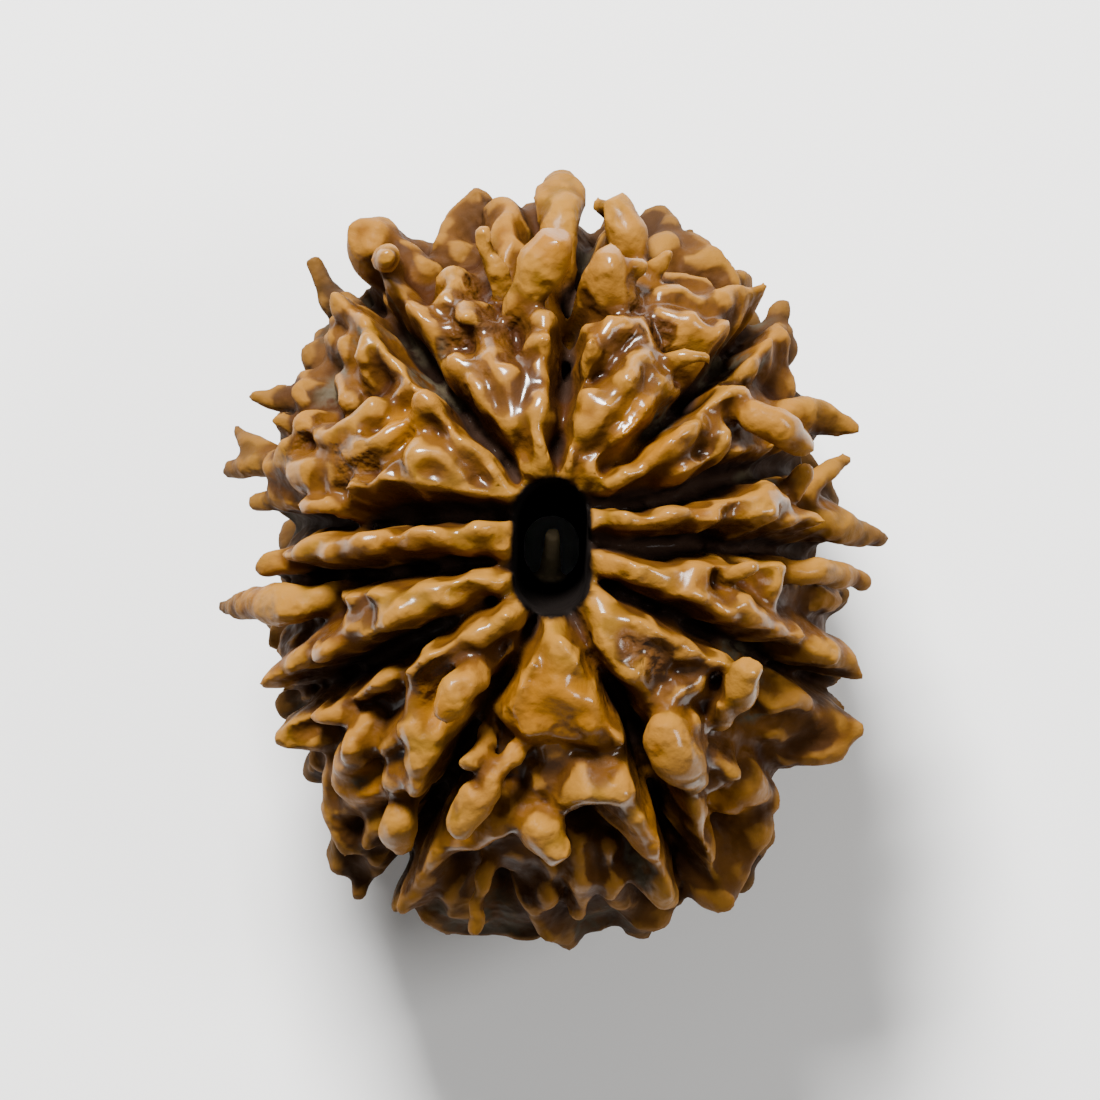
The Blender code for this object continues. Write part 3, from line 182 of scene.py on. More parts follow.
# Ridges raised from the lobes. Each is a line of (x, y, lift of the crest, radius) in mm.
RIDGES = (
    # Lobe left of the upright cleft.
    ((-1.1, 2.9, 1.2, 0.35), (-2.0, 4.2, 2.0, 0.45), (-2.9, 5.7, 2.2, 0.5), (-3.2, 6.5, 2.0, 0.5)),
    ((-0.2, 2.8, 1.3, 0.35), (-0.5, 4.0, 2.0, 0.45), (-0.5, 5.2, 2.1, 0.5)),
    ((-1.4, 4.4, 1.9, 0.6), (-1.7, 5.9, 2.1, 0.65), (-2.2, 6.8, 1.9, 0.6)),
    ((-0.2, 5.8, 1.9, 0.45), (-0.2, 7.0, 2.4, 0.47), (-0.2, 7.8, 2.5, 0.4)),
    ((-2.3, 7.6, 1.7, 0.8), (-3.6, 8.3, 1.8, 0.8), (-3.4, 9.1, 1.7, 0.8)),
    ((-5.8, 9.1, 2.7, 0.28), (-5.1, 8.3, 2.5, 0.4), (-4.4, 7.6, 2.3, 0.45), (-3.5, 7.5, 2.1, 0.45)),
    ((-6.0, 10.8, 2.9, 0.3), (-5.2, 10.4, 2.7, 0.35), (-4.6, 9.7, 2.0, 0.35)),
    ((-3.8, 10.7, 1.9, 0.7), (-3.3, 11.4, 2.1, 0.6), (-2.7, 12.1, 2.5, 0.5)),
    ((-1.5, 10.2, 1.9, 0.6), (-1.6, 11.2, 2.2, 0.62), (-1.7, 12.2, 2.6, 0.5)),
    ((-0.9, 11.0, 1.8, 0.4), (-1.1, 10.2, 1.8, 0.4)),
    # Lobe right of the upright cleft.
    ((0.3, 2.7, 1.2, 0.35), (0.6, 4.0, 1.9, 0.45), (1.1, 4.8, 2.1, 0.45), (1.8, 5.5, 2.0, 0.4)),
    ((1.2, 4.1, 2.0, 0.5), (2.1, 5.1, 2.3, 0.5), (3.0, 6.1, 2.4, 0.45)),
    ((1.6, 2.9, 1.4, 0.45), (2.9, 4.0, 2.1, 0.5), (3.6, 5.0, 2.3, 0.45), (3.8, 5.7, 2.4, 0.35)),
    ((3.2, 6.2, 2.4, 0.4), (3.8, 5.7, 2.4, 0.35)),
    ((1.0, 6.0, 2.0, 0.4), (1.3, 6.8, 2.4, 0.6), (2.1, 7.5, 2.4, 0.5), (2.8, 7.7, 2.1, 0.45)),
    ((3.4, 11.8, 2.1, 0.5), (4.0, 11.6, 2.1, 0.5), (4.3, 10.8, 2.0, 0.45)),
    ((4.5, 10.9, 2.1, 0.5), (5.4, 10.2, 2.2, 0.5), (6.4, 9.3, 2.2, 0.45)),
    ((4.3, 9.2, 1.6, 0.8), (5.2, 8.9, 1.7, 0.7)),
    ((3.8, 8.8, 2.2, 0.35), (5.0, 8.5, 2.3, 0.4), (6.0, 8.6, 2.5, 0.42), (7.5, 8.9, 3.0, 0.36)),
    ((3.9, 8.1, 2.3, 0.45), (4.6, 7.9, 2.5, 0.5), (5.3, 7.5, 2.6, 0.45), (6.3, 7.4, 2.9, 0.4)),
    ((3.3, 6.9, 2.0, 0.6), (3.2, 7.6, 2.0, 0.6)),
    ((2.9, 8.3, 1.8, 0.35), (3.0, 9.5, 1.8, 0.4)),
    # Upper right lobe.
    (
        (2.1, 2.4, 1.4, 0.3), (3.0, 2.7, 1.9, 0.38), (3.9, 3.4, 2.3, 0.42),
        (4.7, 4.0, 2.5, 0.42), (5.2, 4.4, 2.7, 0.35),
    ),
    ((5.2, 4.4, 2.3, 0.4), (5.1, 5.0, 2.4, 0.42), (5.7, 5.4, 2.5, 0.38), (6.4, 5.2, 2.4, 0.3)),
    ((5.8, 4.8, 2.2, 0.35), (6.1, 3.8, 2.3, 0.4), (6.3, 3.0, 2.2, 0.35)),
    ((2.1, 2.0, 1.2, 0.35), (3.6, 2.1, 1.7, 0.45), (5.3, 2.5, 2.0, 0.45), (6.3, 3.0, 2.1, 0.35)),
    ((6.8, 6.5, 2.0, 0.35), (7.6, 7.0, 2.2, 0.45), (8.1, 7.2, 2.3, 0.4)),
    ((7.9, 6.1, 1.5, 0.5), (8.3, 5.4, 1.5, 0.5)),
    ((6.8, 2.9, 1.4, 0.5), (8.0, 3.1, 1.5, 0.5)),
    # Right lobe above the level cleft.
    (
        (1.7, 0.9, 1.2, 0.38), (3.3, 1.1, 2.0, 0.42), (4.3, 1.5, 2.3, 0.42),
        (5.2, 1.8, 2.4, 0.42), (6.5, 2.2, 2.5, 0.4), (7.2, 1.9, 2.5, 0.35),
    ),
    ((1.6, 0.6, 1.2, 0.35), (3.3, 0.7, 1.9, 0.4), (5.0, 0.7, 2.1, 0.45), (6.6, 0.7, 2.3, 0.45)),
    ((6.6, 0.7, 2.3, 0.4), (7.2, 1.1, 2.5, 0.35), (7.6, 1.6, 2.3, 0.4), (8.2, 1.4, 2.3, 0.4)),
    (
        (7.2, 1.2, 2.5, 0.28), (7.9, 0.7, 2.6, 0.3), (8.2, 0.5, 2.6, 0.3),
        (8.5, 1.0, 2.5, 0.28), (8.9, 0.9, 2.6, 0.28), (9.4, 0.6, 2.7, 0.28),
    ),
    # Right lobe below the level cleft.
    ((1.7, -0.1, 1.1, 0.4), (3.0, -0.6, 1.9, 0.42), (5.0, -0.5, 2.2, 0.38), (5.9, -0.2, 2.5, 0.3)),
    ((1.8, -0.5, 1.1, 0.4), (3.3, -1.1, 1.9, 0.42), (4.7, -1.7, 2.2, 0.42), (6.1, -2.2, 2.6, 0.35)),
    ((3.7, -0.9, 2.0, 0.5), (5.2, -1.1, 2.1, 0.5)),
    ((7.8, -0.6, 2.2, 0.45), (7.7, -1.7, 1.9, 0.45), (7.5, -2.5, 1.8, 0.45)),
    ((6.4, -1.8, 2.4, 0.3), (7.3, -2.6, 2.5, 0.4), (8.5, -3.1, 2.5, 0.35)),
    (
        (8.9, -3.4, 2.4, 0.42), (9.9, -3.5, 2.6, 0.45), (10.4, -3.9, 2.9, 0.4),
        (10.7, -4.6, 3.2, 0.3),
    ),
    # Lower right lobe.
    ((1.2, -1.7, 1.0, 0.35), (1.9, -1.8, 1.2, 0.3)),
    (
        (1.6, -2.3, 1.4, 0.35), (2.3, -2.6, 1.9, 0.38), (3.3, -2.4, 2.2, 0.42),
        (4.3, -2.9, 2.5, 0.38),
    ),
    ((1.6, -2.6, 1.4, 0.38), (2.2, -3.5, 2.0, 0.45), (2.9, -4.6, 2.3, 0.48), (3.4, -5.1, 2.2, 0.4)),
    ((3.0, -3.4, 1.9, 0.55), (3.7, -4.2, 1.9, 0.5)),
    ((4.4, -3.7, 2.1, 0.35), (5.2, -3.4, 2.5, 0.42), (5.9, -3.7, 2.4, 0.35)),
    ((4.3, -4.7, 2.0, 0.5), (5.1, -4.7, 1.9, 0.6), (5.6, -5.7, 1.8, 0.6)),
    ((3.9, -5.2, 2.2, 0.35), (4.1, -6.1, 2.5, 0.45), (5.0, -6.9, 2.4, 0.4)),
    ((5.3, -7.2, 2.1, 0.3), (6.0, -7.6, 2.4, 0.28), (6.5, -7.9, 2.6, 0.24)),
    ((7.8, -5.4, 1.8, 0.5), (8.8, -4.9, 2.3, 0.5), (9.6, -5.2, 2.4, 0.45)),
    ((8.0, -6.3, 1.8, 0.5), (9.4, -6.0, 2.6, 0.6), (10.6, -6.3, 3.6, 0.45), (9.9, -7.1, 3.3, 0.45)),
    ((5.5, -8.2, 2.0, 0.3), (6.5, -8.3, 2.2, 0.35), (7.6, -8.5, 2.6, 0.45)),
    ((5.5, -8.9, 2.0, 0.3), (6.8, -9.1, 2.2, 0.35), (7.6, -9.0, 2.6, 0.45)),
    ((7.3, -9.9, 2.9, 0.5), (6.8, -11.2, 3.3, 0.5), (5.5, -12.3, 3.6, 0.45)),
    (
        (4.8, -8.7, 2.4, 0.42), (5.0, -9.7, 2.5, 0.4), (5.3, -10.7, 2.8, 0.32),
        (5.5, -11.3, 3.1, 0.2),
    ),
    # Bottom lobe, with its broad three-sided plate.
    (
        (0.0, -3.0, 1.5, 0.35), (-0.7, -3.8, 2.0, 0.42), (-1.3, -4.8, 2.3, 0.45),
        (-1.6, -5.4, 2.3, 0.42),
    ),
    ((0.2, -3.0, 1.5, 0.35), (1.2, -4.2, 2.1, 0.42), (1.9, -5.5, 2.4, 0.45), (2.4, -6.6, 2.4, 0.4)),
    ((0.0, -3.8, 2.0, 0.6), (0.1, -4.8, 2.1, 0.9), (0.6, -5.5, 2.1, 1.1), (1.4, -6.1, 2.1, 0.9)),
    ((0.0, -4.8, 2.1, 0.8), (-0.7, -5.4, 2.1, 0.8)),
    ((-1.3, -5.9, 2.0, 0.4), (0.3, -6.2, 2.1, 0.5), (1.7, -6.7, 2.1, 0.5)),
    ((-0.2, -2.5, 1.0, 0.35), (0.6, -2.5, 1.0, 0.35)),
    ((0.3, -7.0, 1.5, 0.7), (-0.3, -8.2, 1.5, 0.6)),
    (
        (0.7, -8.7, 2.4, 0.55), (1.4, -8.3, 2.6, 0.65), (2.4, -8.3, 2.7, 0.75),
        (3.1, -9.0, 2.8, 0.72),
        (3.5, -9.9, 2.9, 0.6), (3.8, -10.8, 3.0, 0.55), (4.1, -11.7, 3.2, 0.55),
    ),
    ((3.7, -11.9, 3.0, 0.45), (4.4, -12.2, 3.0, 0.42)),
    ((1.1, -10.8, 2.2, 0.28), (0.9, -11.8, 2.4, 0.3), (1.1, -12.8, 2.5, 0.3)),
    ((2.1, -10.7, 2.2, 0.28), (2.1, -11.6, 2.4, 0.3), (2.3, -12.5, 2.5, 0.3)),
    ((0.0, -11.4, 2.0, 0.3), (-0.3, -12.6, 2.4, 0.3)),
    (
        (-0.8, -9.4, 2.3, 0.4), (-1.9, -9.6, 2.4, 0.42), (-2.7, -10.1, 2.4, 0.42),
        (-3.8, -10.5, 2.5, 0.42), (-4.7, -11.3, 2.9, 0.4), (-5.3, -12.4, 3.5, 0.42),
    ),
    (
        (-4.4, -12.7, 3.1, 0.35), (-3.4, -13.3, 3.0, 0.4), (-1.5, -13.5, 2.6, 0.45),
        (0.3, -13.4, 2.4, 0.45), (1.9, -13.2, 2.5, 0.4), (3.2, -13.0, 2.5, 0.35),
    ),
    # Lower left lobe.
    ((-1.0, -2.4, 1.0, 0.4), (-1.7, -1.9, 1.0, 0.4)),
    (
        (-0.6, -3.5, 1.8, 0.3), (-0.6, -3.0, 1.8, 0.3), (-1.0, -2.5, 1.8, 0.32),
        (-1.6, -2.4, 1.9, 0.32), (-2.2, -2.7, 2.0, 0.35), (-3.2, -2.8, 2.2, 0.42),
        (-4.0, -3.3, 2.3, 0.42), (-4.9, -3.9, 2.4, 0.38),
    ),
    ((-2.9, -3.4, 1.6, 0.5), (-3.9, -4.0, 1.8, 0.5)),
    ((-4.8, -4.2, 2.2, 0.4), (-4.7, -5.1, 2.0, 0.4), (-4.8, -5.8, 1.9, 0.35)),
    ((-4.5, -6.6, 2.5, 0.65), (-4.4, -7.5, 2.6, 0.7), (-4.5, -8.2, 2.4, 0.5)),
    ((-5.0, -6.4, 2.4, 0.35), (-3.8, -6.4, 2.4, 0.35)),
    ((-4.8, -7.8, 2.3, 0.4), (-5.5, -8.2, 2.3, 0.35)),
    ((-5.2, -6.5, 2.0, 0.35), (-5.8, -6.9, 2.2, 0.35)),
    ((-6.8, -6.6, 2.4, 0.4), (-7.0, -7.6, 2.4, 0.5), (-7.3, -8.3, 2.4, 0.5)),
    ((-7.8, -7.9, 2.3, 0.5), (-7.8, -9.2, 2.7, 0.5), (-7.2, -10.4, 3.0, 0.5)),
    ((-5.7, -8.4, 2.2, 0.35), (-6.6, -8.6, 2.3, 0.38), (-7.3, -9.0, 2.4, 0.38)),
    ((-5.9, -9.8, 2.3, 0.35), (-6.5, -10.2, 2.7, 0.38)),
    ((-7.5, -5.8, 2.2, 0.35), (-8.5, -5.6, 2.5, 0.4), (-9.4, -5.9, 2.8, 0.35)),
    ((-9.5, -6.6, 3.0, 0.35), (-8.3, -6.7, 2.2, 0.4)),
    ((-6.2, -4.4, 2.3, 0.33), (-7.0, -4.6, 2.5, 0.36), (-7.5, -4.9, 2.5, 0.33)),
    # Left lobe below the level cleft.
    (
        (-1.6, -1.0, 1.1, 0.35), (-3.5, -1.0, 1.9, 0.38), (-5.2, -1.2, 2.2, 0.42),
        (-6.1, -1.4, 2.3, 0.38),
    ),
    (
        (-4.0, -1.7, 1.9, 0.5), (-5.0, -2.2, 2.4, 0.75), (-5.7, -2.9, 2.5, 0.72),
        (-6.2, -3.4, 2.5, 0.5),
    ),
    ((-2.0, -1.4, 1.1, 0.35), (-3.6, -1.8, 1.6, 0.4)),
    (
        (-6.4, -2.4, 2.2, 0.3), (-7.0, -2.9, 2.3, 0.35), (-7.7, -3.5, 2.4, 0.35),
        (-8.7, -4.1, 2.6, 0.35), (-9.4, -4.6, 2.8, 0.35), (-9.9, -5.0, 3.2, 0.25),
    ),
    ((-7.6, -1.4, 2.3, 0.32), (-6.9, -1.6, 2.2, 0.35)),
    ((-8.8, -3.4, 1.6, 0.4), (-9.5, -3.6, 1.9, 0.3)),
    # Left lobe above the level cleft.
    (
        (-1.5, 0.7, 1.1, 0.35), (-2.4, 0.6, 1.6, 0.38), (-3.7, 0.4, 1.9, 0.4),
        (-5.0, 0.5, 2.1, 0.42), (-6.0, 0.7, 2.2, 0.4),
    ),
    ((-1.7, 0.1, 1.1, 0.35), (-4.0, -0.1, 1.7, 0.42), (-5.8, 0.0, 2.0, 0.5)),
    (
        (-6.0, 0.4, 2.1, 0.45), (-6.7, 0.1, 2.2, 0.5), (-8.2, -0.1, 2.2, 0.5),
        (-9.3, -0.4, 2.2, 0.45),
    ),
    ((-7.3, -0.5, 1.7, 0.4), (-9.0, -0.8, 1.7, 0.4)),
    # Upper left lobe.
    (
        (-1.7, 2.4, 1.3, 0.38), (-2.7, 3.3, 1.9, 0.42), (-3.3, 4.2, 2.2, 0.42),
        (-3.8, 4.7, 2.4, 0.42), (-4.4, 5.0, 2.6, 0.35),
    ),
    ((-1.5, 1.9, 1.2, 0.38), (-3.3, 1.9, 1.8, 0.42), (-4.5, 2.1, 2.1, 0.4)),
    ((-4.6, 4.6, 2.2, 0.35), (-4.5, 3.3, 2.2, 0.45), (-4.6, 2.3, 2.1, 0.4)),
    ((-3.8, 3.2, 1.8, 0.6), (-3.0, 2.6, 1.7, 0.5)),
    ((-6.8, 1.9, 2.2, 0.35), (-6.0, 2.2, 2.5, 0.42), (-5.0, 1.7, 2.6, 0.38), (-4.7, 1.6, 2.6, 0.3)),
    ((-5.7, 2.5, 2.1, 0.4), (-5.2, 2.7, 2.0, 0.35)),
    ((-5.6, 4.2, 2.4, 0.25), (-6.1, 3.6, 2.4, 0.3), (-7.1, 3.3, 2.3, 0.27)),
    (
        (-8.5, 4.2, 2.2, 0.38), (-7.7, 3.8, 2.4, 0.42), (-6.8, 4.3, 2.3, 0.42),
        (-6.2, 4.8, 2.2, 0.38),
    ),
    ((-7.8, 2.7, 2.2, 0.45), (-9.2, 3.0, 2.4, 0.62), (-10.0, 3.1, 2.5, 0.5)),
    ((-7.3, 8.6, 2.9, 0.25), (-6.7, 8.0, 2.6, 0.33), (-6.4, 7.2, 2.2, 0.4), (-6.5, 6.6, 2.4, 0.46)),
    ((-7.7, 7.7, 2.0, 0.28), (-7.3, 8.0, 2.2, 0.28), (-6.9, 7.8, 2.2, 0.28)),
    ((-7.8, 7.3, 2.1, 0.3), (-7.2, 7.0, 2.3, 0.3)),
    ((-5.9, 6.9, 2.6, 0.26), (-5.2, 6.5, 2.5, 0.34), (-4.7, 5.8, 2.2, 0.32)),
    ((-5.2, 5.4, 1.5, 0.6), (-5.0, 6.0, 1.7, 0.5)),
    ((-8.4, 7.4, 2.1, 0.42), (-8.5, 6.7, 2.1, 0.42)),
    ((-8.7, 6.0, 2.1, 0.45), (-8.7, 5.4, 2.1, 0.45)),
    ((-7.3, 5.8, 1.6, 0.5), (-7.0, 5.0, 1.6, 0.6)),
)

# Blunt horns and spines, free of the lobe between root and tip, in the same numbers.
HORNS = (
    # Lobe left of the upright cleft.
    ((-1.2, 7.9, 1.4, 0.55), (-0.8, 8.7, 2.3, 0.6), (-0.3, 9.7, 3.0, 0.82), (-0.2, 9.9, 3.2, 0.8)),
    ((-5.2, 9.5, 1.4, 0.9), (-5.9, 10.2, 2.5, 1.0), (-6.1, 10.4, 2.9, 0.95)),
    ((-5.7, 9.9, 2.6, 0.4), (-5.7, 9.9, 4.1, 0.4)),
    ((-1.8, 9.0, 1.7, 0.35), (-2.1, 9.8, 2.4, 0.3), (-2.3, 10.5, 3.0, 0.22)),
    ((0.2, 10.6, 1.8, 0.6), (0.3, 11.6, 2.2, 0.72), (0.3, 12.3, 2.5, 0.75)),
    ((0.2, 11.3, 2.2, 0.5), (-0.2, 12.1, 2.5, 0.42)),
    ((-3.0, 8.2, 1.6, 0.4), (-2.9, 7.9, 2.2, 0.4)),
    # Lobe right of the upright cleft.
    ((2.1, 8.2, 1.5, 0.75), (2.0, 9.0, 2.4, 0.75), (2.0, 9.5, 2.9, 0.6)),
    ((1.4, 9.6, 2.9, 0.35), (2.7, 9.5, 2.9, 0.35)),
    ((2.8, 9.9, 1.6, 0.6), (2.6, 10.7, 2.3, 0.7), (2.4, 11.3, 2.7, 0.6)),
    ((2.5, 11.2, 2.5, 0.4), (1.9, 11.6, 2.6, 0.35)),
    ((3.4, 9.3, 1.9, 0.35), (3.9, 9.9, 2.6, 0.27)),
    ((3.8, 6.2, 1.9, 0.35), (4.4, 6.5, 2.4, 0.3), (5.0, 6.5, 2.7, 0.26)),
    # Upper right lobe.
    ((6.3, 4.8, 2.1, 0.3), (7.1, 4.4, 2.6, 0.5), (8.0, 4.0, 2.9, 0.62), (8.4, 3.7, 2.9, 0.5)),
    ((8.0, 4.7, 1.5, 0.5), (9.2, 4.5, 2.0, 0.6), (10.2, 4.2, 2.8, 0.3)),
    ((7.5, 7.6, 1.6, 0.35), (8.1, 8.3, 2.4, 0.25)),
    # Right lobe above the level cleft.
    ((8.8, 1.0, 1.3, 0.5), (9.8, 0.7, 1.9, 0.52), (11.5, 0.38, 3.0, 0.25)),
    ((8.8, 1.7, 1.3, 0.4), (9.2, 2.3, 1.7, 0.35), (10.0, 2.9, 2.3, 0.27)),
    ((8.4, 1.9, 1.6, 0.35), (8.7, 2.5, 2.0, 0.25)),
    # Right lobe below the level cleft.
    ((6.0, -1.0, 2.0, 0.4), (6.6, -0.8, 2.5, 0.35)),
    ((8.3, -0.9, 1.7, 0.45), (9.6, -0.8, 2.3, 0.4), (10.7, -1.1, 2.6, 0.35)),
    # Lower right lobe.
    ((6.4, -5.0, 1.6, 0.5), (6.4, -4.9, 2.6, 0.6), (6.6, -4.5, 2.9, 0.58)),
    ((5.9, -6.0, 1.6, 0.35), (5.9, -5.5, 2.3, 0.38)),
    ((4.9, -6.2, 1.6, 0.6), (3.8, -6.1, 2.6, 0.65), (4.2, -7.0, 2.8, 0.85), (4.7, -7.7, 2.4, 0.6)),
    ((5.0, -10.9, 1.8, 0.6), (5.6, -11.7, 2.8, 0.75), (5.8, -12.0, 3.3, 0.65)),
    # Bottom lobe.
    (
        (-1.2, -7.1, 2.0, 0.25), (-1.8, -7.6, 2.5, 0.38), (-2.4, -8.3, 2.8, 0.55),
        (-2.9, -9.0, 3.1, 0.65),
    ),
    ((-2.3, -6.7, 1.8, 0.35), (-2.6, -7.1, 2.5, 0.4)),
    ((-0.4, -9.5, 1.8, 0.7), (-0.3, -9.7, 2.5, 0.78), (-0.1, -10.0, 2.7, 0.6)),
    ((-2.3, -11.2, 2.0, 0.3), (-2.5, -12.1, 2.4, 0.32), (-2.7, -12.9, 3.1, 0.28)),
    # Lower left lobe.
    ((-2.6, -4.3, 1.9, 0.5), (-3.1, -4.7, 2.7, 0.62), (-3.4, -5.2, 2.9, 0.55)),
    ((-5.2, -8.9, 2.1, 0.45), (-5.3, -9.5, 2.7, 0.62), (-5.2, -10.0, 2.5, 0.5)),
    ((-6.4, -10.4, 2.1, 0.5), (-6.6, -11.2, 2.8, 0.45), (-6.7, -11.8, 3.4, 0.27)),
    # Left lobe below the level cleft.
    (
        (-8.0, -1.8, 1.5, 0.5), (-9.3, -2.0, 2.2, 0.72), (-10.4, -1.95, 2.6, 0.5),
        (-11.4, -2.05, 3.0, 0.25),
    ),
    # Left lobe above the level cleft.
    ((-9.3, -0.4, 1.8, 0.4), (-10.1, -0.7, 2.2, 0.22)),
    # Upper left lobe.
    ((-7.3, 1.4, 1.6, 0.3), (-7.8, 1.4, 2.2, 0.3), (-8.3, 1.4, 2.2, 0.3)),
    ((-8.3, 1.7, 1.2, 0.4), (-9.5, 1.7, 1.7, 0.4), (-10.2, 1.6, 2.2, 0.22)),
    ((-10.0, 3.2, 2.3, 0.45), (-10.9, 4.0, 2.9, 0.28)),
    ((-10.0, 3.0, 2.4, 0.45), (-11.2, 2.75, 2.9, 0.28)),
    ((-8.3, 5.0, 1.5, 0.45), (-9.3, 5.1, 2.2, 0.42), (-10.0, 5.2, 2.9, 0.33)),
    ((-8.9, 4.0, 1.7, 0.28), (-9.3, 4.3, 2.2, 0.2)),
    ((-7.6, 8.4, 1.6, 0.45), (-8.0, 9.2, 2.4, 0.36), (-8.2, 9.7, 3.0, 0.25)),
)

# Where the whole lobe swells outward: (x, y, radius, height) in mm.
SWELLS = (
    (-6.6, -11.4, 2.3, 1.9), (5.6, -11.8, 2.6, 1.8), (-1.0, -13.0, 3.2, 1.3),
    (9.6, -5.6, 2.2, 1.0), (5.8, 10.2, 2.4, 0.6),
)

# Hollows in the lobes: (x, y, radius, depth) in mm.
HOLLOWS = (
    (1.3, -7.3, 0.6, 1.4), (1.7, -9.7, 1.2, 2.2), (2.7, -10.1, 0.8, 1.8), (-3.3, -11.5, 0.7, 2.0),
    (-1.7, -11.2, 0.6, 2.0), (3.9, 10.3, 0.5, 1.6), (-2.9, 10.1, 0.55, 1.5),
    (-2.2, 10.9, 0.35, 1.5),
    (7.6, 5.9, 0.5, 1.5), (7.8, 2.5, 0.7, 1.5), (-7.5, -2.4, 0.6, 1.5), (-6.7, -9.4, 0.6, 1.6),
    (-6.5, -6.2, 0.9, 1.8), (-1.5, -3.4, 0.6, 1.4), (-8.8, 3.8, 0.35, 1.2), (-6.8, 5.7, 0.7, 1.2),
    (-4.0, 6.6, 0.5, 1.0), (7.0, -1.3, 0.5, 1.4), (4.7, 5.9, 0.5, 1.0), (-7.5, 3.3, 0.4, 1.2),
    (6.5, -5.7, 0.5, 1.3), (-5.8, -7.4, 0.5, 1.2), (-1.6, -8.3, 0.5, 1.0),
)

# The lower half repeats the upper half's lobes turned this many lobes round, kept inside this
# share of the rim and below this lift near it.
LOWER_TURN = 4
LOWER_REACH = 0.97
LOWER_LIFT = 1.9

# The photograph's view: its width in mm at the stone's middle, and the middle of the picture.
VIEW_WIDTH = 38.33
VIEW_MIDDLE = (-0.105, 0.29)
CAMERA_DISTANCE = 300
SENSOR_WIDTH = 36

# How far the floor reaches from the bead, in mm.
FLOOR_REACH = 1000

# The lamps, as (name, place in mm, size in mm, watts), and how bright the surroundings are.
LAMPS = (("key", (-50, 190, 200), 80, 3.2), ("fill", (160, 20, 190), 70, 0.3))
WORLD_STRENGTH = 0.25

# Finer lumps than the solid can carry: how far apart, and how high from lowest to highest.
GRIT_APART = 0.42
GRIT_RISE = 0.22

# Where grey dried pulp is left in the clefts, as (x, y, radius) in mm from the thread hole.
CRUSTS = (
    (1.4, 10.6, 0.9), (1.2, 9.4, 0.6), (6.3, 6.4, 1.2), (7.0, 7.6, 0.9), (3.9, 4.6, 0.8),
    (-4.2, 6.1, 1.0), (-5.6, 7.4, 1.0), (-6.6, 8.3, 0.8), (-5.9, 6.4, 0.7), (8.0, 2.6, 0.8),
    (-9.4, 1.3, 1.2), (-7.0, -9.6, 0.9), (-6.2, -7.4, 0.7), (8.0, 5.6, 0.6), (6.7, -3.9, 0.6),
    (7.6, -4.4, 0.8), (6.9, -5.6, 0.7), (-9.0, -6.0, 0.8), (-9.0, 4.6, 0.9), (2.9, -9.9, 0.7),
    (-7.8, 7.6, 1.3), (-7.2, 5.4, 1.1), (-8.4, 8.6, 1.0), (-10.0, 0.6, 1.0), (1.8, -12.0, 2.2),
    (-2.6, -11.8, 2.4), (6.6, -11.4, 1.2), (-8.2, -10.0, 1.0), (10.2, -3.4, 0.8),
)

# Where the shell is more golden, as (x, y, radius).
GOLDEN = (
    (6.4, -4.5, 0.8), (-3.3, -4.9, 0.9), (0.0, -5.2, 1.6), (-1.9, -9.2, 0.9), (5.6, -8.3, 0.9),
    (3.0, -8.6, 1.0), (-6.0, -7.4, 0.8), (0.1, 8.4, 0.8), (3.0, 3.6, 1.0), (-4.6, 4.0, 0.8),
)

# Where small crumbs stick to the plates, as (x, y, radius).
PITTED = (
    (-2.2, 6.4, 1.4), (-2.6, 8.4, 1.3), (3.0, 7.0, 1.0), (-8.0, 3.2, 1.1), (-6.2, 2.6, 0.9),
    (2.8, -3.4, 0.9), (6.4, 5.0, 0.9), (-3.4, -4.2, 0.8),
)

# How high a point stands over the mean of its neighbours, as (name, passes of averaging, mm that
# count as full): the coarse one tells ridges from hollows, the fine one finds worn edges.
RELIEFS = (("relief", 40, 0.5), ("edge", 6, 0.08))

# The lift, in mm, that counts as full height over the core, and the passes that measure it.
FULL_HEIGHT = 3
HEIGHT_PASSES = 6

# How far the painted shade on the slot's wall fades out past its edge,
# and the fibre's colour past its line.
SLOT_SHADE_FADE = 0.12
SLOT_SHADE_COVER = 1.8
FIBRE_FADE = 0.4
FIBRE_COVER = 1.6

# Sizes in mm of what varies over the shell: colour of the flanks, of the crests, of dried pulp,
# the sheen of the dry wood, how well the oil took, the pits, the crumbs, and the wood's grain.
FLANK_BLOTCH = 2.2
CREST_BLOTCH = 2.8
PULP_BLOTCH = 0.6
DRY_BLOTCH = 0.45
OIL_BLOTCH = 1.6
PIT_SIZE = 0.75
PIT_PATCH = 2
CRUMB_SIZE = 0.42
GRAIN_SIZE = 0.3


def cleft_angles(radius):
    """Each cleft's angle at a distance from the hole's axis, anticlockwise, as an array."""
    angles = []
    for line in CLEFTS:
        points = np.array(line)
        reach = np.hypot(points[:, 0], points[:, 1])
        turned = np.unwrap(np.arctan2(points[:, 1], points[:, 0]))
        angles.append(np.interp(radius, reach, turned))
    return np.unwrap(np.array(angles), axis=0)


def rim_radius(angle):
    """How far the rim of the bead is from the hole's axis in a direction."""
    across, along = CORE_X + LOBE_LIFT, CORE_Y + LOBE_LIFT
    return 1 / math.hypot(math.cos(angle) / across, math.sin(angle) / along)


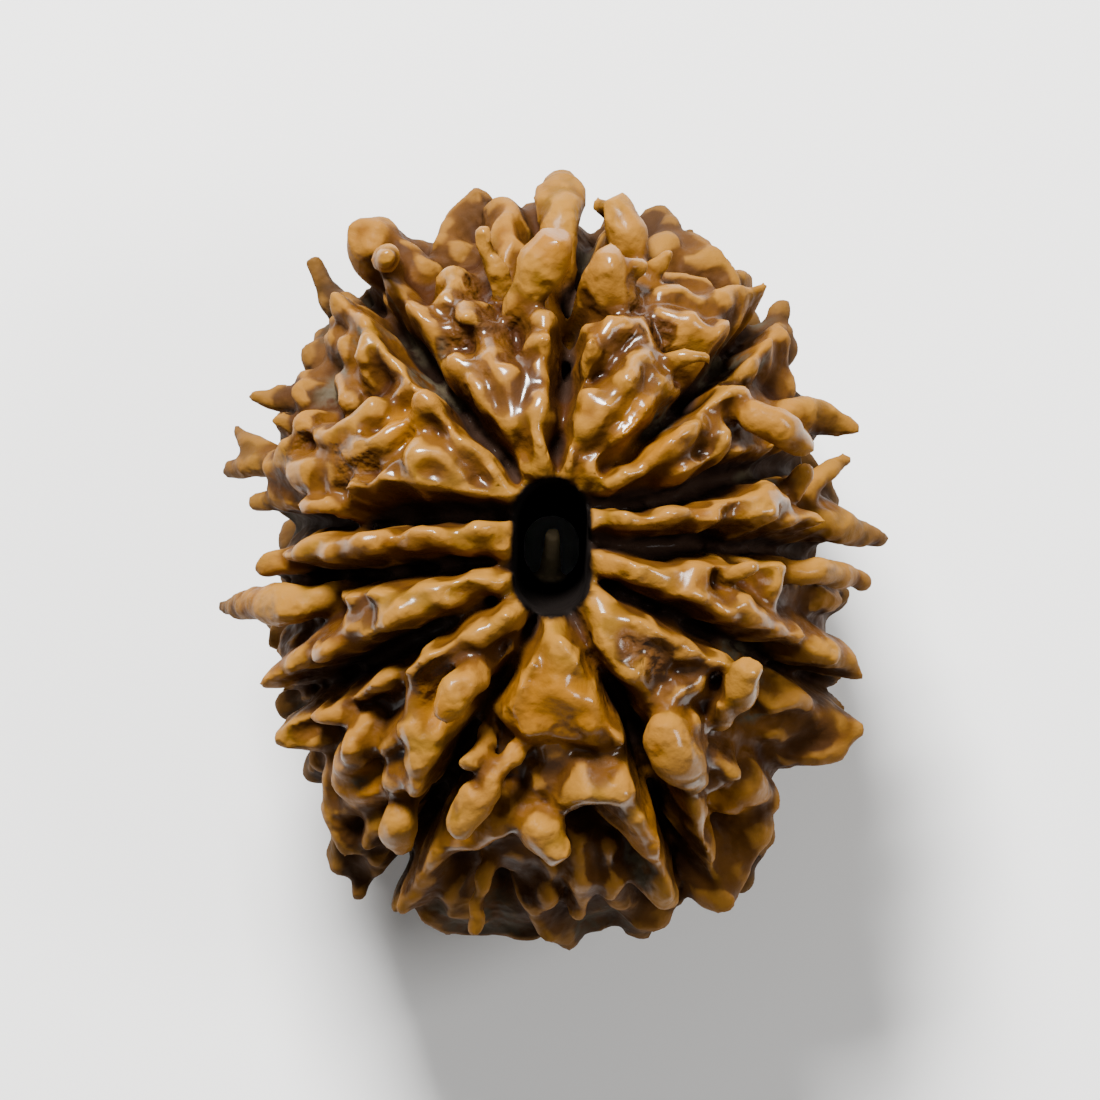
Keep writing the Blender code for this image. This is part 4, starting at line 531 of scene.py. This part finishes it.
def moved_to_lobe(x, y, turn):
    """The place that (x, y) takes when its lobe's form is repeated some lobes further round."""
    count = len(CLEFTS)
    radius = math.hypot(x, y)
    here = cleft_angles(radius)
    angle = here[0] + (math.atan2(y, x) - here[0]) % math.tau
    edges = np.append(here, here[0] + math.tau)
    lobe = int(np.clip(np.searchsorted(edges, angle) - 1, 0, count - 1))
    share = (angle - edges[lobe]) / (edges[lobe + 1] - edges[lobe])
    new_lobe = (lobe + turn) % count
    new_radius = radius
    for _ in range(3):
        there = cleft_angles(new_radius)
        edges = np.append(there, there[0] + math.tau)
        new_angle = edges[new_lobe] + share * (edges[new_lobe + 1] - edges[new_lobe])
        new_radius = radius * rim_radius(new_angle) / rim_radius(angle)
    return new_radius * math.cos(new_angle), new_radius * math.sin(new_angle)


def station(x, y, lift, side):
    """The direction from the stone's middle to (x, y) on its upper or lower side, and the lift.

    A station beyond the rim is lifted until the rim reaches it.
    """
    x, y = x + HOLE_X, y + HOLE_Y
    while math.hypot(x / (CORE_X + lift), y / (CORE_Y + lift)) > 1:
        lift += RIM_STEP
    across, along = x / (CORE_X + lift), y / (CORE_Y + lift)
    up = math.sqrt(1 - across**2 - along**2)
    return np.array((across, along, side * up)), lift


def both_sides(lines):
    """The lines of the upper half as (line, side), and their turned repeats on the lower half."""
    found = []
    for line in lines:
        below = []
        for x, y, *rest in line:
            x, y = moved_to_lobe(x, y, LOWER_TURN)
            inward = min(1, LOWER_REACH * rim_radius(math.atan2(y, x)) / math.hypot(x, y))
            if len(rest) == 2 and inward < 1 / LOWER_REACH:
                rest[0] = min(rest[0], LOWER_LIFT)
            below.append((x * inward, y * inward, *rest))
        found += [(line, 1), (tuple(below), -1)]
    return found


def smooth_max(first, second, reach):
    """The greater of two lifts, with a rounded change from one to the other."""
    overlap = np.maximum(reach - np.abs(first - second), 0) / reach
    return np.maximum(first, second) + overlap**2 * reach / 4


def on_surface(line, side):
    """A line of (x, y, first, second) as rows of (place on the lobes, first, second).

    Where two stations are far apart, others are set between them, so the line follows the body.
    """
    rows = []
    for x, y, *values in line:
        direction, values[0] = station(x, y, values[0], side)
        rows.append(np.array((*direction, *values)))
    return filled_in(rows)


def filled_in(rows):
    """Rows of (direction, values) with others between them, and directions turned into places."""
    filled = [rows[0]]
    for last, row in zip(rows, rows[1:]):
        count = 1 + int(np.linalg.norm(row[:3] - last[:3]) / STATION_ANGLE)
        for step in range(1, count + 1):
            filled.append(last + (row - last) * step / count)
    filled = np.array(filled)
    filled[:, :3] /= np.linalg.norm(filled[:, :3], axis=1, keepdims=True)
    filled[:, :3] *= CORE + LOBE_LIFT
    return filled


def along_line(places, line):
    """The distance of each place to a line, with the line's two values where it is nearest.

    Only places near the line are measured: the last result says which.
    """
    middle = (line[:, :3].min(axis=0) + line[:, :3].max(axis=0)) / 2
    reach = (line[:, :3].max(axis=0) - line[:, :3].min(axis=0)) / 2 + LINE_REACH
    near = (np.abs(places - middle) < reach).all(axis=1)
    there = places[near]
    distance = np.full(len(there), np.inf)
    values = np.zeros((len(there), 2))
    for start, end in zip(line, line[1:]):
        run = end[:3] - start[:3]
        share = np.clip((there - start[:3]) @ run / (run @ run), 0, 1)
        away = np.linalg.norm(there - start[:3] - share[:, None] * run, axis=1)
        closer = away < distance
        distance = np.where(closer, away, distance)
        here = start[3:] + share[:, None] * (end[3:] - start[3:])
        values = np.where(closer[:, None], here, values)
    return distance, values[:, 0], values[:, 1], near


def belt_ridges():
    """Short ridges round the widest part, some across each lobe, drawn by a seeded rule."""
    draw = random.Random(BELT_SEED)
    angles = cleft_angles(CORE_Y)
    found = []
    for start, end in zip(angles, [*angles[1:], angles[0] + math.tau]):
        columns = max(1, round((end - start) * CORE_X / BELT_SPACING))
        for up in BELT_LEVELS:
            for column in range(columns):
                angle = start + (end - start) * (column + draw.uniform(0.3, 0.7)) / columns
                level = up + draw.uniform(-0.06, 0.06)
                lean = draw.uniform(-0.06, 0.06)
                rise = draw.uniform(0.05, 0.11)
                crest = draw.uniform(*BELT_LIFTS)
                radius = draw.uniform(0.35, 0.55)
                rows = []
                for share in (-1, 0, 1):
                    turned = angle + share * lean
                    height = level + share * rise
                    flat = math.sqrt(1 - height**2)
                    direction = (flat * math.cos(turned), flat * math.sin(turned), height)
                    swell = swell_lift(np.array([direction]) * (CORE + LOBE_LIFT))[0]
                    rows.append(np.array((*direction, crest + swell - 0.2 * abs(share), radius)))
                found.append(filled_in(rows))
    return found


def wandered(places):
    """The places moved a little by smooth noise, so that lines drawn on them aren't straight."""
    shifts = [noise.noise_vector(Vector(place / WANDER_LENGTH)) for place in places]
    return places + WANDER * np.array(shifts)


def bump(places, x, y, size, side):
    """A rounded bump, 1 high at (x, y), that fades out over a size."""
    centre = station(x, y, LOBE_LIFT, side)[0] * (CORE + LOBE_LIFT)
    gap = np.linalg.norm(places - centre, axis=1)
    return np.exp(-((gap / size) ** 2))


def swell_lift(places):
    """How far the places are lifted by the swells, which are alike on both sides."""
    lift = np.zeros(len(places))
    for x, y, size, height in SWELLS:
        lift += height * np.maximum(bump(places, x, y, size, 1), bump(places, x, y, size, -1))
    return lift


def cleft_gap(places):
    """How far each place is from the nearest cleft's edge, negative inside the cleft."""
    gap = np.full(len(places), LINE_REACH)
    for cleft in CLEFTS:
        (last_x, last_y, width), (from_x, from_y, _) = cleft[-1], cleft[-2]
        cleft_to_rim = (*cleft, (2 * last_x - from_x, 2 * last_y - from_y, width))
        for side in (1, -1):
            line = on_surface([(x, y, LOBE_LIFT, width) for x, y, width in cleft_to_rim], side)
            distance, _, half_width, near = along_line(places, line)
            gap[near] = np.minimum(gap[near], distance - half_width)
    return gap


def noise_at(places, length):
    """Smooth noise with blotches of a length, for each place."""
    return np.array([noise.noise(Vector(place / length)) for place in places])


def surface_lift(directions):
    """How far the body rises above the core in each direction: lobes, ridges, clefts, hollows."""
    places = directions * (CORE + LOBE_LIFT)
    drawn_on = wandered(places)
    rough = noise_at(places, ROUGH_LENGTH)
    gap = cleft_gap(drawn_on) + CLEFT_RAGGED * rough
    rim = np.clip(1 - np.abs(directions[:, 2]) / RIM_ZONE, 0, 1)
    floor = CLEFT_FLOOR + (CLEFT_FLOOR_AT_RIM - CLEFT_FLOOR) * rim

    from_hole = np.clip(np.hypot(places[:, 0], places[:, 1]) / HOLE_DIP_REACH, 0, 1)
    lift = LOBE_LIFT_AT_HOLE + (LOBE_LIFT - LOBE_LIFT_AT_HOLE) * from_hole**2
    lift += LUMP_HEIGHT * noise_at(places, LUMP_LENGTH)
    shoulder = np.clip(gap / LOBE_SHOULDER, 0, 1)
    lift = floor + (lift - floor) * shoulder * (2 - shoulder)
    lift += swell_lift(places)
    for line, side in both_sides([(hollow,) for hollow in HOLLOWS]):
        x, y, size, depth = line[0]
        lift -= depth * bump(drawn_on, x, y, size, side)
    ridges = [on_surface(line, side) for line, side in both_sides(RIDGES)]
    for line in ridges + belt_ridges():
        distance, crest, radius, near = along_line(drawn_on, line)
        radius *= 1 + RIDGE_SWELL * rough[near]
        crest += RIDGE_CROWN * radius + RIDGE_ROUGH * rough[near]
        turn = RIDGE_ROUNDNESS * RIDGE_SLOPE * radius
        ridge = crest - RIDGE_SLOPE * (np.hypot(distance, turn) - turn)
        lift[near] = smooth_max(lift[near], ridge, BLEND)
    wall = floor + CLEFT_SLOPE * np.maximum(gap, 0)
    return -smooth_max(-lift, -wall, BLEND)


def make_core():
    """The body with its lobes, ridges and clefts, before any horn stands on it."""
    mesh = bpy.data.meshes.new("core")
    shape = bmesh.new()
    bmesh.ops.create_icosphere(shape, subdivisions=CORE_SUBDIVISIONS, radius=1)
    shape.to_mesh(mesh)
    shape.free()
    directions = np.empty(len(mesh.vertices) * 3, np.float32)
    mesh.vertices.foreach_get("co", directions)
    directions = directions.reshape(-1, 3).astype(float)
    points = directions * (CORE + surface_lift(directions)[:, None]) * MM
    mesh.vertices.foreach_set("co", points.astype(np.float32).ravel())
    return mesh


def add_horn(curve, points, radii):
    """A smooth round rod along the points, with a rounded nose at both ends."""
    first = points[0] + (points[0] - points[1]).normalized() * radii[0]
    last = points[-1] + (points[-1] - points[-2]).normalized() * (radii[-1] + TIP_LOSS)
    places = [first, *points, last]
    widths = [max(radius, THINNEST_HORN) * HORN_GROWTH for radius in radii]
    sizes = [radii[0] * 0.3, *widths, widths[-1] * 0.62]
    spline = curve.splines.new("NURBS")
    spline.points.add(len(places) - 1)
    for knot, place, size in zip(spline.points, places, sizes):
        knot.co = (*(place * MM), 1)
        knot.radius = size
    spline.order_u = 3
    spline.use_endpoint_u = True
    spline.resolution_u = 12


def make_horns():
    """A mesh of every horn, each a closed rod that starts inside the lobe."""
    curve = bpy.data.curves.new("horns", "CURVE")
    curve.dimensions = "3D"
    curve.bevel_depth = MM
    curve.bevel_resolution = 5
    curve.use_fill_caps = True
    for line, side in both_sides(HORNS):
        x, y, lift, root_radius = line[0]
        points = [Vector(station(x, y, lift, side)[0] * (CORE + ROOT_LIFT))]
        for x, y, lift, _ in line:
            direction, lift = station(x, y, lift, side)
            points.append(Vector(direction * (CORE + lift)))
        add_horn(curve, points, [root_radius, *(radius for *_, radius in line)])
    holder = bpy.data.objects.new("horns", curve)
    bpy.context.scene.collection.objects.link(holder)
    bpy.context.view_layer.update()
    graph = bpy.context.evaluated_depsgraph_get()
    mesh = bpy.data.meshes.new_from_object(holder.evaluated_get(graph))
    bpy.data.objects.remove(holder)
    return mesh


def make_hole_cutter():
    """The thread hole as a closed slot-shaped rod that is wide at both mouths."""
    levels = ((-14, 1.0), (-7.5, 1.0), (-3, 0.0), (2, 0.0), (6.5, 0.8), (9, 1.0), (14, 1.0))
    shape = bmesh.new()
    rings = []
    for height, openness in levels:
        width, length = (
            throat + openness * (mouth - throat) * (1 if height > 0 else 0.35)
            for mouth, throat in zip(HOLE_MOUTH, HOLE_THROAT)
        )
        straight = (length - width) / 2
        ring = []
        for side in range(HOLE_SIDES):
            angle = math.tau * side / HOLE_SIDES
            x = HOLE_X + width / 2 * math.cos(angle)
            end = math.copysign(straight, math.sin(angle + 1e-6))
            y = HOLE_Y + width / 2 * math.sin(angle) + end
            ring.append(shape.verts.new((x * MM, y * MM, height * MM)))
        rings.append(ring)
    for lower, upper in zip(rings, rings[1:]):
        for side in range(HOLE_SIDES):
            after = (side + 1) % HOLE_SIDES
            shape.faces.new((lower[side], lower[after], upper[after], upper[side]))
    shape.faces.new(reversed(rings[0]))
    shape.faces.new(rings[-1])
    mesh = bpy.data.meshes.new("thread_hole")
    shape.to_mesh(mesh)
    shape.free()
    return mesh


def make_rest_cutter():
    """A block whose top face is the surface that the bead was worn flat on."""
    mesh = bpy.data.meshes.new("worn_flat")
    shape = bmesh.new()
    bmesh.ops.create_cube(shape, size=40 * MM)
    bmesh.ops.translate(shape, verts=shape.verts, vec=(0, 0, -(REST_DEPTH + 20) * MM))
    shape.to_mesh(mesh)
    shape.free()
    return mesh


def make_fibre():
    """The stub of pith fibre that leans out of the hole's wall, as a tapered rod."""
    root, tip = Vector(FIBRE_ROOT), Vector(FIBRE_TIP)
    mesh = bpy.data.meshes.new("fibre")
    shape = bmesh.new()
    bmesh.ops.create_cone(
        shape,
        cap_ends=True,
        segments=FIBRE_SIDES,
        radius1=FIBRE_RADII[0] * MM,
        radius2=FIBRE_RADII[1] * MM,
        depth=(tip - root).length * MM,
    )
    turn = (tip - root).to_track_quat("Z", "Y").to_matrix().to_4x4()
    bmesh.ops.transform(shape, verts=shape.verts, matrix=turn)
    bmesh.ops.translate(shape, verts=shape.verts, vec=(root + tip) / 2 * MM)
    shape.to_mesh(mesh)
    shape.free()
    return mesh


def add_helper(name, mesh, parent):
    """A helper object that only shapes the bead."""
    helper = bpy.data.objects.new(name, mesh)
    bpy.context.scene.collection.objects.link(helper)
    helper.parent = parent
    helper.display_type = "WIRE"
    helper.hide_render = True
    return helper


def add_modifier(bead, name, kind, **settings):
    """A modifier of a kind on the bead, with its settings."""
    modifier = bead.modifiers.new(name, kind)
    for setting, value in settings.items():
        setattr(modifier, setting, value)


def make_bead():
    """The bead: core and horns fused, pierced, thinned and worn flat underneath."""
    mesh = make_core()
    bead = bpy.data.objects.new("fine_bead", mesh)
    bpy.context.scene.collection.objects.link(bead)
    shape = bmesh.new()
    shape.from_mesh(mesh)
    shape.from_mesh(make_horns())
    shape.to_mesh(mesh)
    shape.free()
    bead.location = (0, 0, REST_DEPTH * MM)

    hole = add_helper("thread_hole", make_hole_cutter(), bead)
    fibre = add_helper("fibre", make_fibre(), bead)
    flat = add_helper("worn_flat", make_rest_cutter(), bead)

    for name, apart, rise in (("lumps", LUMPS_APART, LUMPS_RISE), ("grit", GRIT_APART, GRIT_RISE)):
        texture = bpy.data.textures.new(name, "CLOUDS")
        texture.noise_scale = apart * MM
        texture.noise_depth = 1
        add_modifier(bead, name, "DISPLACE", texture=texture, strength=rise * MM)
    add_modifier(bead, "fuse", "REMESH", mode="VOXEL", voxel_size=VOXEL * MM)
    add_modifier(bead, "pierce", "BOOLEAN", object=hole, operation="DIFFERENCE")
    add_modifier(bead, "stub", "BOOLEAN", object=fibre, operation="UNION")
    add_modifier(bead, "blend", "REMESH", mode="VOXEL", voxel_size=VOXEL * MM)
    add_modifier(bead, "soften", "SMOOTH", factor=0.5, iterations=SMOOTH_PASSES)
    add_modifier(bead, "thin", "DECIMATE", ratio=KEPT_SHARE)
    add_modifier(bead, "wear", "BOOLEAN", object=flat, operation="DIFFERENCE")
    return bead


def evaluated(bead):
    """The bead's mesh as its modifiers leave it."""
    bpy.context.view_layer.update()
    graph = bpy.context.evaluated_depsgraph_get()
    return bpy.data.meshes.new_from_object(bead.evaluated_get(graph))


def coordinates(mesh):
    """The mesh's points as rows, in mm from the middle of the stone."""
    points = np.empty(len(mesh.vertices) * 3, np.float32)
    mesh.vertices.foreach_get("co", points)
    return points.reshape(-1, 3).astype(float) / MM


def neighbour_mean(mesh, values, passes):
    """The values after each point has taken its neighbours' mean a number of times."""
    edges = np.empty(len(mesh.edges) * 2, np.int32)
    mesh.edges.foreach_get("vertices", edges)
    first, second = edges.reshape(-1, 2).T
    count = len(mesh.vertices)
    degree = np.bincount(first, minlength=count) + np.bincount(second, minlength=count)
    degree = np.maximum(degree, 1)
    for _ in range(passes):
        total = np.zeros_like(values)
        for axis in range(values.shape[1]):
            total[:, axis] = np.bincount(first, values[second, axis], count)
            total[:, axis] += np.bincount(second, values[first, axis], count)
        values = total / degree[:, None]
    return values


def lift_of(points):
    """How far each point lies above the core, found in a few passes."""
    lift = np.zeros(len(points))
    for _ in range(HEIGHT_PASSES):
        scale = np.linalg.norm(points / (CORE + lift[:, None]), axis=1)
        lift += (scale - 1) * np.linalg.norm(points, axis=1) / np.maximum(scale, 0.3)
    return lift


def add_layer(mesh, name, values):
    """A named number for each point, which the material reads."""
    layer = mesh.attributes.new(name, "FLOAT", "POINT")
    layer.data.foreach_set("value", values.astype(np.float32))


def add_layers(mesh):
    """The numbers that colour the stone at each point."""
    points = coordinates(mesh)
    normals = np.empty(len(points) * 3, np.float32)
    mesh.vertex_normals.foreach_get("vector", normals)
    normals = normals.reshape(-1, 3)
    for name, passes, reach in RELIEFS:
        around = neighbour_mean(mesh, points, passes)
        out = ((points - around) * normals).sum(axis=1)
        add_layer(mesh, name, np.clip(0.5 + out / reach / 2, 0, 1))
    outward = points / CORE**2
    outward /= np.linalg.norm(outward, axis=1, keepdims=True)
    add_layer(mesh, "facing", np.clip((normals * outward).sum(axis=1), 0, 1))
    add_layer(mesh, "height", np.clip(lift_of(points) / FULL_HEIGHT, -1, 1))
    places = points / np.linalg.norm(points / (CORE + LOBE_LIFT), axis=1, keepdims=True)
    for name, spots in (("crust", CRUSTS), ("pitted", PITTED), ("golden", GOLDEN)):
        cover = np.zeros(len(points))
        for line, side in both_sides([(spot,) for spot in spots]):
            x, y, size = line[0]
            cover = np.maximum(cover, bump(places, x, y, size, side))
        add_layer(mesh, name, cover)
    # The slot layer marks where painted shade darkens the hole's wall.
    width, length = HOLE_MOUTH
    along = np.maximum(np.abs(points[:, 1] - HOLE_Y) - (length - width) / 2, 0)
    from_slot = np.hypot(points[:, 0] - HOLE_X, along) - width / 2
    add_layer(mesh, "slot", np.clip(SLOT_SHADE_COVER - from_slot / SLOT_SHADE_FADE, 0, 1))
    root, tip = np.array(FIBRE_ROOT), np.array(FIBRE_TIP)
    share = np.clip((points - root) @ (tip - root) / ((tip - root) @ (tip - root)), 0, 1)
    from_fibre = np.linalg.norm(points - root - share[:, None] * (tip - root), axis=1)
    add_layer(mesh, "fibre", np.clip(FIBRE_COVER - from_fibre / FIBRE_FADE, 0, 1))


def srgb(code):
    """A colour from its hex code, as the linear values that a shader takes."""
    channels = [int(code[i : i + 2], 16) / 255 for i in (0, 2, 4)]
    linear = [c / 12.92 if c <= 0.04045 else ((c + 0.055) / 1.055) ** 2.4 for c in channels]
    return (*linear, 1)


def node(tree, kind, settings=(), **inputs):
    """A shader node with its settings, and its inputs set or linked by name, or by number as i0."""
    made = tree.nodes.new("ShaderNode" + kind)
    for name, value in dict(settings).items():
        setattr(made, name, value)
    for name, value in inputs.items():
        numbered = name[0] == "i" and name[1:].isdigit()
        socket = made.inputs[int(name[1:])] if numbered else made.inputs[name]
        if isinstance(value, bpy.types.NodeSocket):
            tree.links.new(value, socket)
        else:
            socket.default_value = value
    return made


def mixed(tree, share, first, second):
    """Two colours mixed by a share from 0 to 1."""
    return node(tree, "Mix", {"data_type": "RGBA"}, i0=share, i6=first, i7=second).outputs[2]


def between(tree, share, first, second):
    """Two numbers mixed by a share from 0 to 1."""
    return node(tree, "Mix", {"data_type": "FLOAT"}, i0=share, i2=first, i3=second).outputs[0]


def ranged(tree, value, low, high, to_low=0.0, to_high=1.0):
    """A value mapped from one range to another, smoothly, and held at its ends."""
    made = node(
        tree, "MapRange", {"interpolation_type": "SMOOTHSTEP"},
        i0=value, i1=low, i2=high, i3=to_low, i4=to_high,
    )
    return made.outputs[0]


def product(tree, first, second):
    """Two shares multiplied."""
    return node(tree, "Math", {"operation": "MULTIPLY"}, i0=first, i1=second).outputs[0]


def raised(tree, height, strength, depth_mm, under=None):
    """The surface's slope where a pattern raises it, over an earlier slope if one is given."""
    inputs = {"Strength": strength, "Distance": depth_mm * MM, "Height": height}
    if under is not None:
        inputs["Normal"] = under
    return node(tree, "Bump", **inputs).outputs["Normal"]


def layer(tree, name):
    """The number that the mesh carries under a name."""
    return node(tree, "Attribute", {"attribute_name": name}).outputs["Fac"]


def grain(tree, scale_mm, detail=3, roughness=0.55):
    """Cloudy noise with blotches of a size in mm."""
    place = node(tree, "TexCoord").outputs["Object"]
    made = node(tree, "TexNoise", i0=place)
    made.inputs["Scale"].default_value = 1 / (scale_mm * MM)
    made.inputs["Detail"].default_value = detail
    made.inputs["Roughness"].default_value = roughness
    return made.outputs["Fac"]


def shell_material():
    """Hard woody fruit stone, brushed clean, worn by handling and rubbed with oil.

    Brushing and wear leave tan crests over mustard flanks, and the hollows are darkened red-brown
    as painted shade. Dust and dried pulp lie in the clefts, whose floors go near black from dirt
    and painted shade. The rim, underside and slot wall are darker as painted shade, and the outer
    side is duller. The oil gives the upper crests a gloss.
    """
    material = bpy.data.materials.new("oiled_stone_shell")
    material.use_nodes = True
    tree = material.node_tree
    shader = tree.nodes["Principled BSDF"]
    place = node(tree, "TexCoord").outputs["Object"]
    up = node(tree, "SeparateXYZ", i0=place).outputs["Z"]
    relief, height = layer(tree, "relief"), layer(tree, "height")

    # Flanks, crests, worn edges, painted shade in the hollows, golden places, and cleft floors
    # darkened by dirt and painted shade.
    flank = ranged(tree, grain(tree, FLANK_BLOTCH), 0.35, 0.65)
    colour = mixed(tree, flank, srgb("3A210A"), srgb("54330C"))
    crest = ranged(tree, grain(tree, CREST_BLOTCH), 0.4, 0.6)
    crest = mixed(tree, crest, srgb("673F0E"), srgb("724F10"))
    colour = mixed(tree, ranged(tree, relief, 0.58, 0.95), colour, crest)
    worn = ranged(tree, layer(tree, "edge"), 0.68, 1.0, 0, 0.7)
    colour = mixed(tree, worn, colour, srgb("8A5E22"))
    # Painted shade: the hollows between ridges are darkened to red-brown where shade falls.
    colour = mixed(tree, ranged(tree, relief, 0.42, 0.15), colour, srgb("301806"))
    # The cleft floors go near black: partly the dark dirt in them, partly painted shade.
    colour = mixed(tree, ranged(tree, height, 0.25, 0.05), colour, srgb("2A1C14"))
    golden = ranged(tree, layer(tree, "golden"), 0.1, 0.7, 0, 0.75)
    colour = mixed(tree, golden, colour, srgb("7E4F06"))

    # Dried pulp, painted shade on the rim and underside and on the slot's wall, and the pale fibre
    # in it.
    pulp = ranged(tree, layer(tree, "crust"), 0.3, 0.7)
    pulp = product(tree, pulp, ranged(tree, grain(tree, PULP_BLOTCH), 0.35, 0.6))
    pulp = product(tree, pulp, ranged(tree, relief, 0.75, 0.5))
    colour = mixed(tree, pulp, colour, srgb("463D2E"))
    # Painted shade: towards the rim and underside the shell is darkened and greyed, as if out of
    # the light.
    colour = mixed(tree, ranged(tree, up, 5 * MM, -1 * MM, 0, 0.7), colour, srgb("2C2118"))
    # Painted shade: the slot's wall is darkened to near black, where the hole lies in shade.
    colour = mixed(tree, layer(tree, "slot"), colour, srgb("100C0A"))
    colour = mixed(tree, layer(tree, "fibre"), colour, srgb("FFE2AC"))
    shader.inputs["Base Color"].default_value = srgb("6C4812")
    tree.links.new(colour, shader.inputs["Base Color"])

    # The dry wood is almost matt, most of all in the clefts and on the outer side.
    rough = ranged(tree, grain(tree, DRY_BLOTCH), 0.3, 0.7, 0.35, 0.6)
    rough = between(tree, ranged(tree, height, 0.3, 0.08), rough, 0.8)
    rough = between(tree, ranged(tree, up, 6 * MM, 0), rough, 0.7)
    tree.links.new(rough, shader.inputs["Roughness"])
    shader.inputs["Specular IOR Level"].default_value = 0.04

    # The oil lies as a thin coat where hands reach: high up, on crests and on level faces.
    oiled = ranged(tree, height, 0.1, 0.6, 0.1, 1)
    oiled = product(tree, oiled, ranged(tree, up, 3.5 * MM, 8.5 * MM, 0.03, 1))
    oiled = product(tree, oiled, ranged(tree, layer(tree, "facing"), 0.7, 0.97, 0, 1))
    oiled = product(tree, oiled, ranged(tree, grain(tree, OIL_BLOTCH), 0.3, 0.6, 0.3, 1))
    tree.links.new(oiled, shader.inputs["Coat Weight"])
    shader.inputs["Coat Roughness"].default_value = 0.18
    shader.inputs["Coat IOR"].default_value = 1.5

    # Pits in patches, crumbs on some plates, and a grain drawn coarser than the real one to show.
    pits = node(tree, "TexVoronoi", {"feature": "SMOOTH_F1"}, i0=place)
    pits.inputs["Scale"].default_value = 1 / (PIT_SIZE * MM)
    pitted = ranged(tree, pits.outputs["Distance"], 0.1, 0.45)
    pitted = product(tree, pitted, ranged(tree, grain(tree, PIT_PATCH), 0.4, 0.7))
    crumbs = grain(tree, CRUMB_SIZE, 2, 0.4)
    crumbs = product(tree, crumbs, ranged(tree, layer(tree, "pitted"), 0.1, 0.6))
    crumbs = product(tree, crumbs, ranged(tree, relief, 0.8, 0.55))
    slope = raised(tree, pitted, 0.5, 0.25)
    slope = raised(tree, crumbs, 0.8, 0.45, slope)
    slope = raised(tree, grain(tree, GRAIN_SIZE, 4, 0.6), 0.4, 0.1, slope)
    tree.links.new(slope, shader.inputs["Normal"])
    return material


def floor_material():
    """Plain matt pale paper."""
    material = bpy.data.materials.new("pale_paper")
    material.use_nodes = True
    shader = material.node_tree.nodes["Principled BSDF"]
    shader.inputs["Base Color"].default_value = srgb("F6F5F3")
    shader.inputs["Roughness"].default_value = 0.9
    shader.inputs["Specular IOR Level"].default_value = 0.1
    return material


def add_floor():
    """The surface that the bead rests on, far wider than the view."""
    mesh = bpy.data.meshes.new("floor")
    shape = bmesh.new()
    bmesh.ops.create_grid(shape, x_segments=1, y_segments=1, size=FLOOR_REACH * MM)
    shape.to_mesh(mesh)
    shape.free()
    mesh.materials.append(floor_material())
    floor = bpy.data.objects.new("floor", mesh)
    bpy.context.scene.collection.objects.link(floor)


def add_light(name, place, size, energy):
    """A soft square light at a place in mm, turned towards the bead."""
    data = bpy.data.lights.new(name, "AREA")
    data.energy = energy
    data.size = size * MM
    light = bpy.data.objects.new(name, data)
    bpy.context.scene.collection.objects.link(light)
    light.location = Vector(place) * MM
    towards = Vector((0, 0, REST_DEPTH)) - Vector(place)
    light.rotation_euler = towards.to_track_quat("-Z", "Y").to_euler()


def add_camera():
    """The camera straight above the bead, as the photograph looks down the thread hole."""
    data = bpy.data.cameras.new("camera")
    data.sensor_width = SENSOR_WIDTH
    data.lens = SENSOR_WIDTH * CAMERA_DISTANCE / VIEW_WIDTH
    data.clip_start = MM
    camera = bpy.data.objects.new("camera", data)
    bpy.context.scene.collection.objects.link(camera)
    camera.location = Vector((*VIEW_MIDDLE, REST_DEPTH + CAMERA_DISTANCE)) * MM
    bpy.context.scene.camera = camera


def add_world():
    """Even pale surroundings."""
    world = bpy.data.worlds.new("surroundings")
    world.use_nodes = True
    background = world.node_tree.nodes["Background"]
    background.inputs["Color"].default_value = (1, 1, 1, 1)
    background.inputs["Strength"].default_value = WORLD_STRENGTH
    bpy.context.scene.world = world


def fit_inside(mesh, box):
    """Scales the mesh a little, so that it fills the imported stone's box and stays inside it."""
    points = coordinates(mesh) * MM
    low, high = points.min(axis=0), points.max(axis=0)
    want_low, want_high = (np.array(corner) - (0, 0, REST_DEPTH * MM) for corner in box)
    points = want_low + (points - low) * (want_high - want_low) / (high - low)
    mesh.vertices.foreach_set("co", points.astype(np.float32).ravel())
    mesh.update()


add_camera()
add_floor()
add_world()
for lamp in LAMPS:
    add_light(*lamp)
bead = make_bead()
skin_mesh = evaluated(bead)
for helper in [*bead.children, bead]:
    bpy.data.objects.remove(helper)
add_layers(skin_mesh)
fit_inside(skin_mesh, cad_box)
skin_mesh.shade_smooth()
skin = bpy.data.objects.new("bead_skin", skin_mesh)
bpy.context.scene.collection.objects.link(skin)
skin.location = (0, 0, REST_DEPTH * MM)
skin_mesh.materials.clear()
skin_mesh.materials.append(shell_material())
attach(skin, "root")
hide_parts("rudraksha_bead")
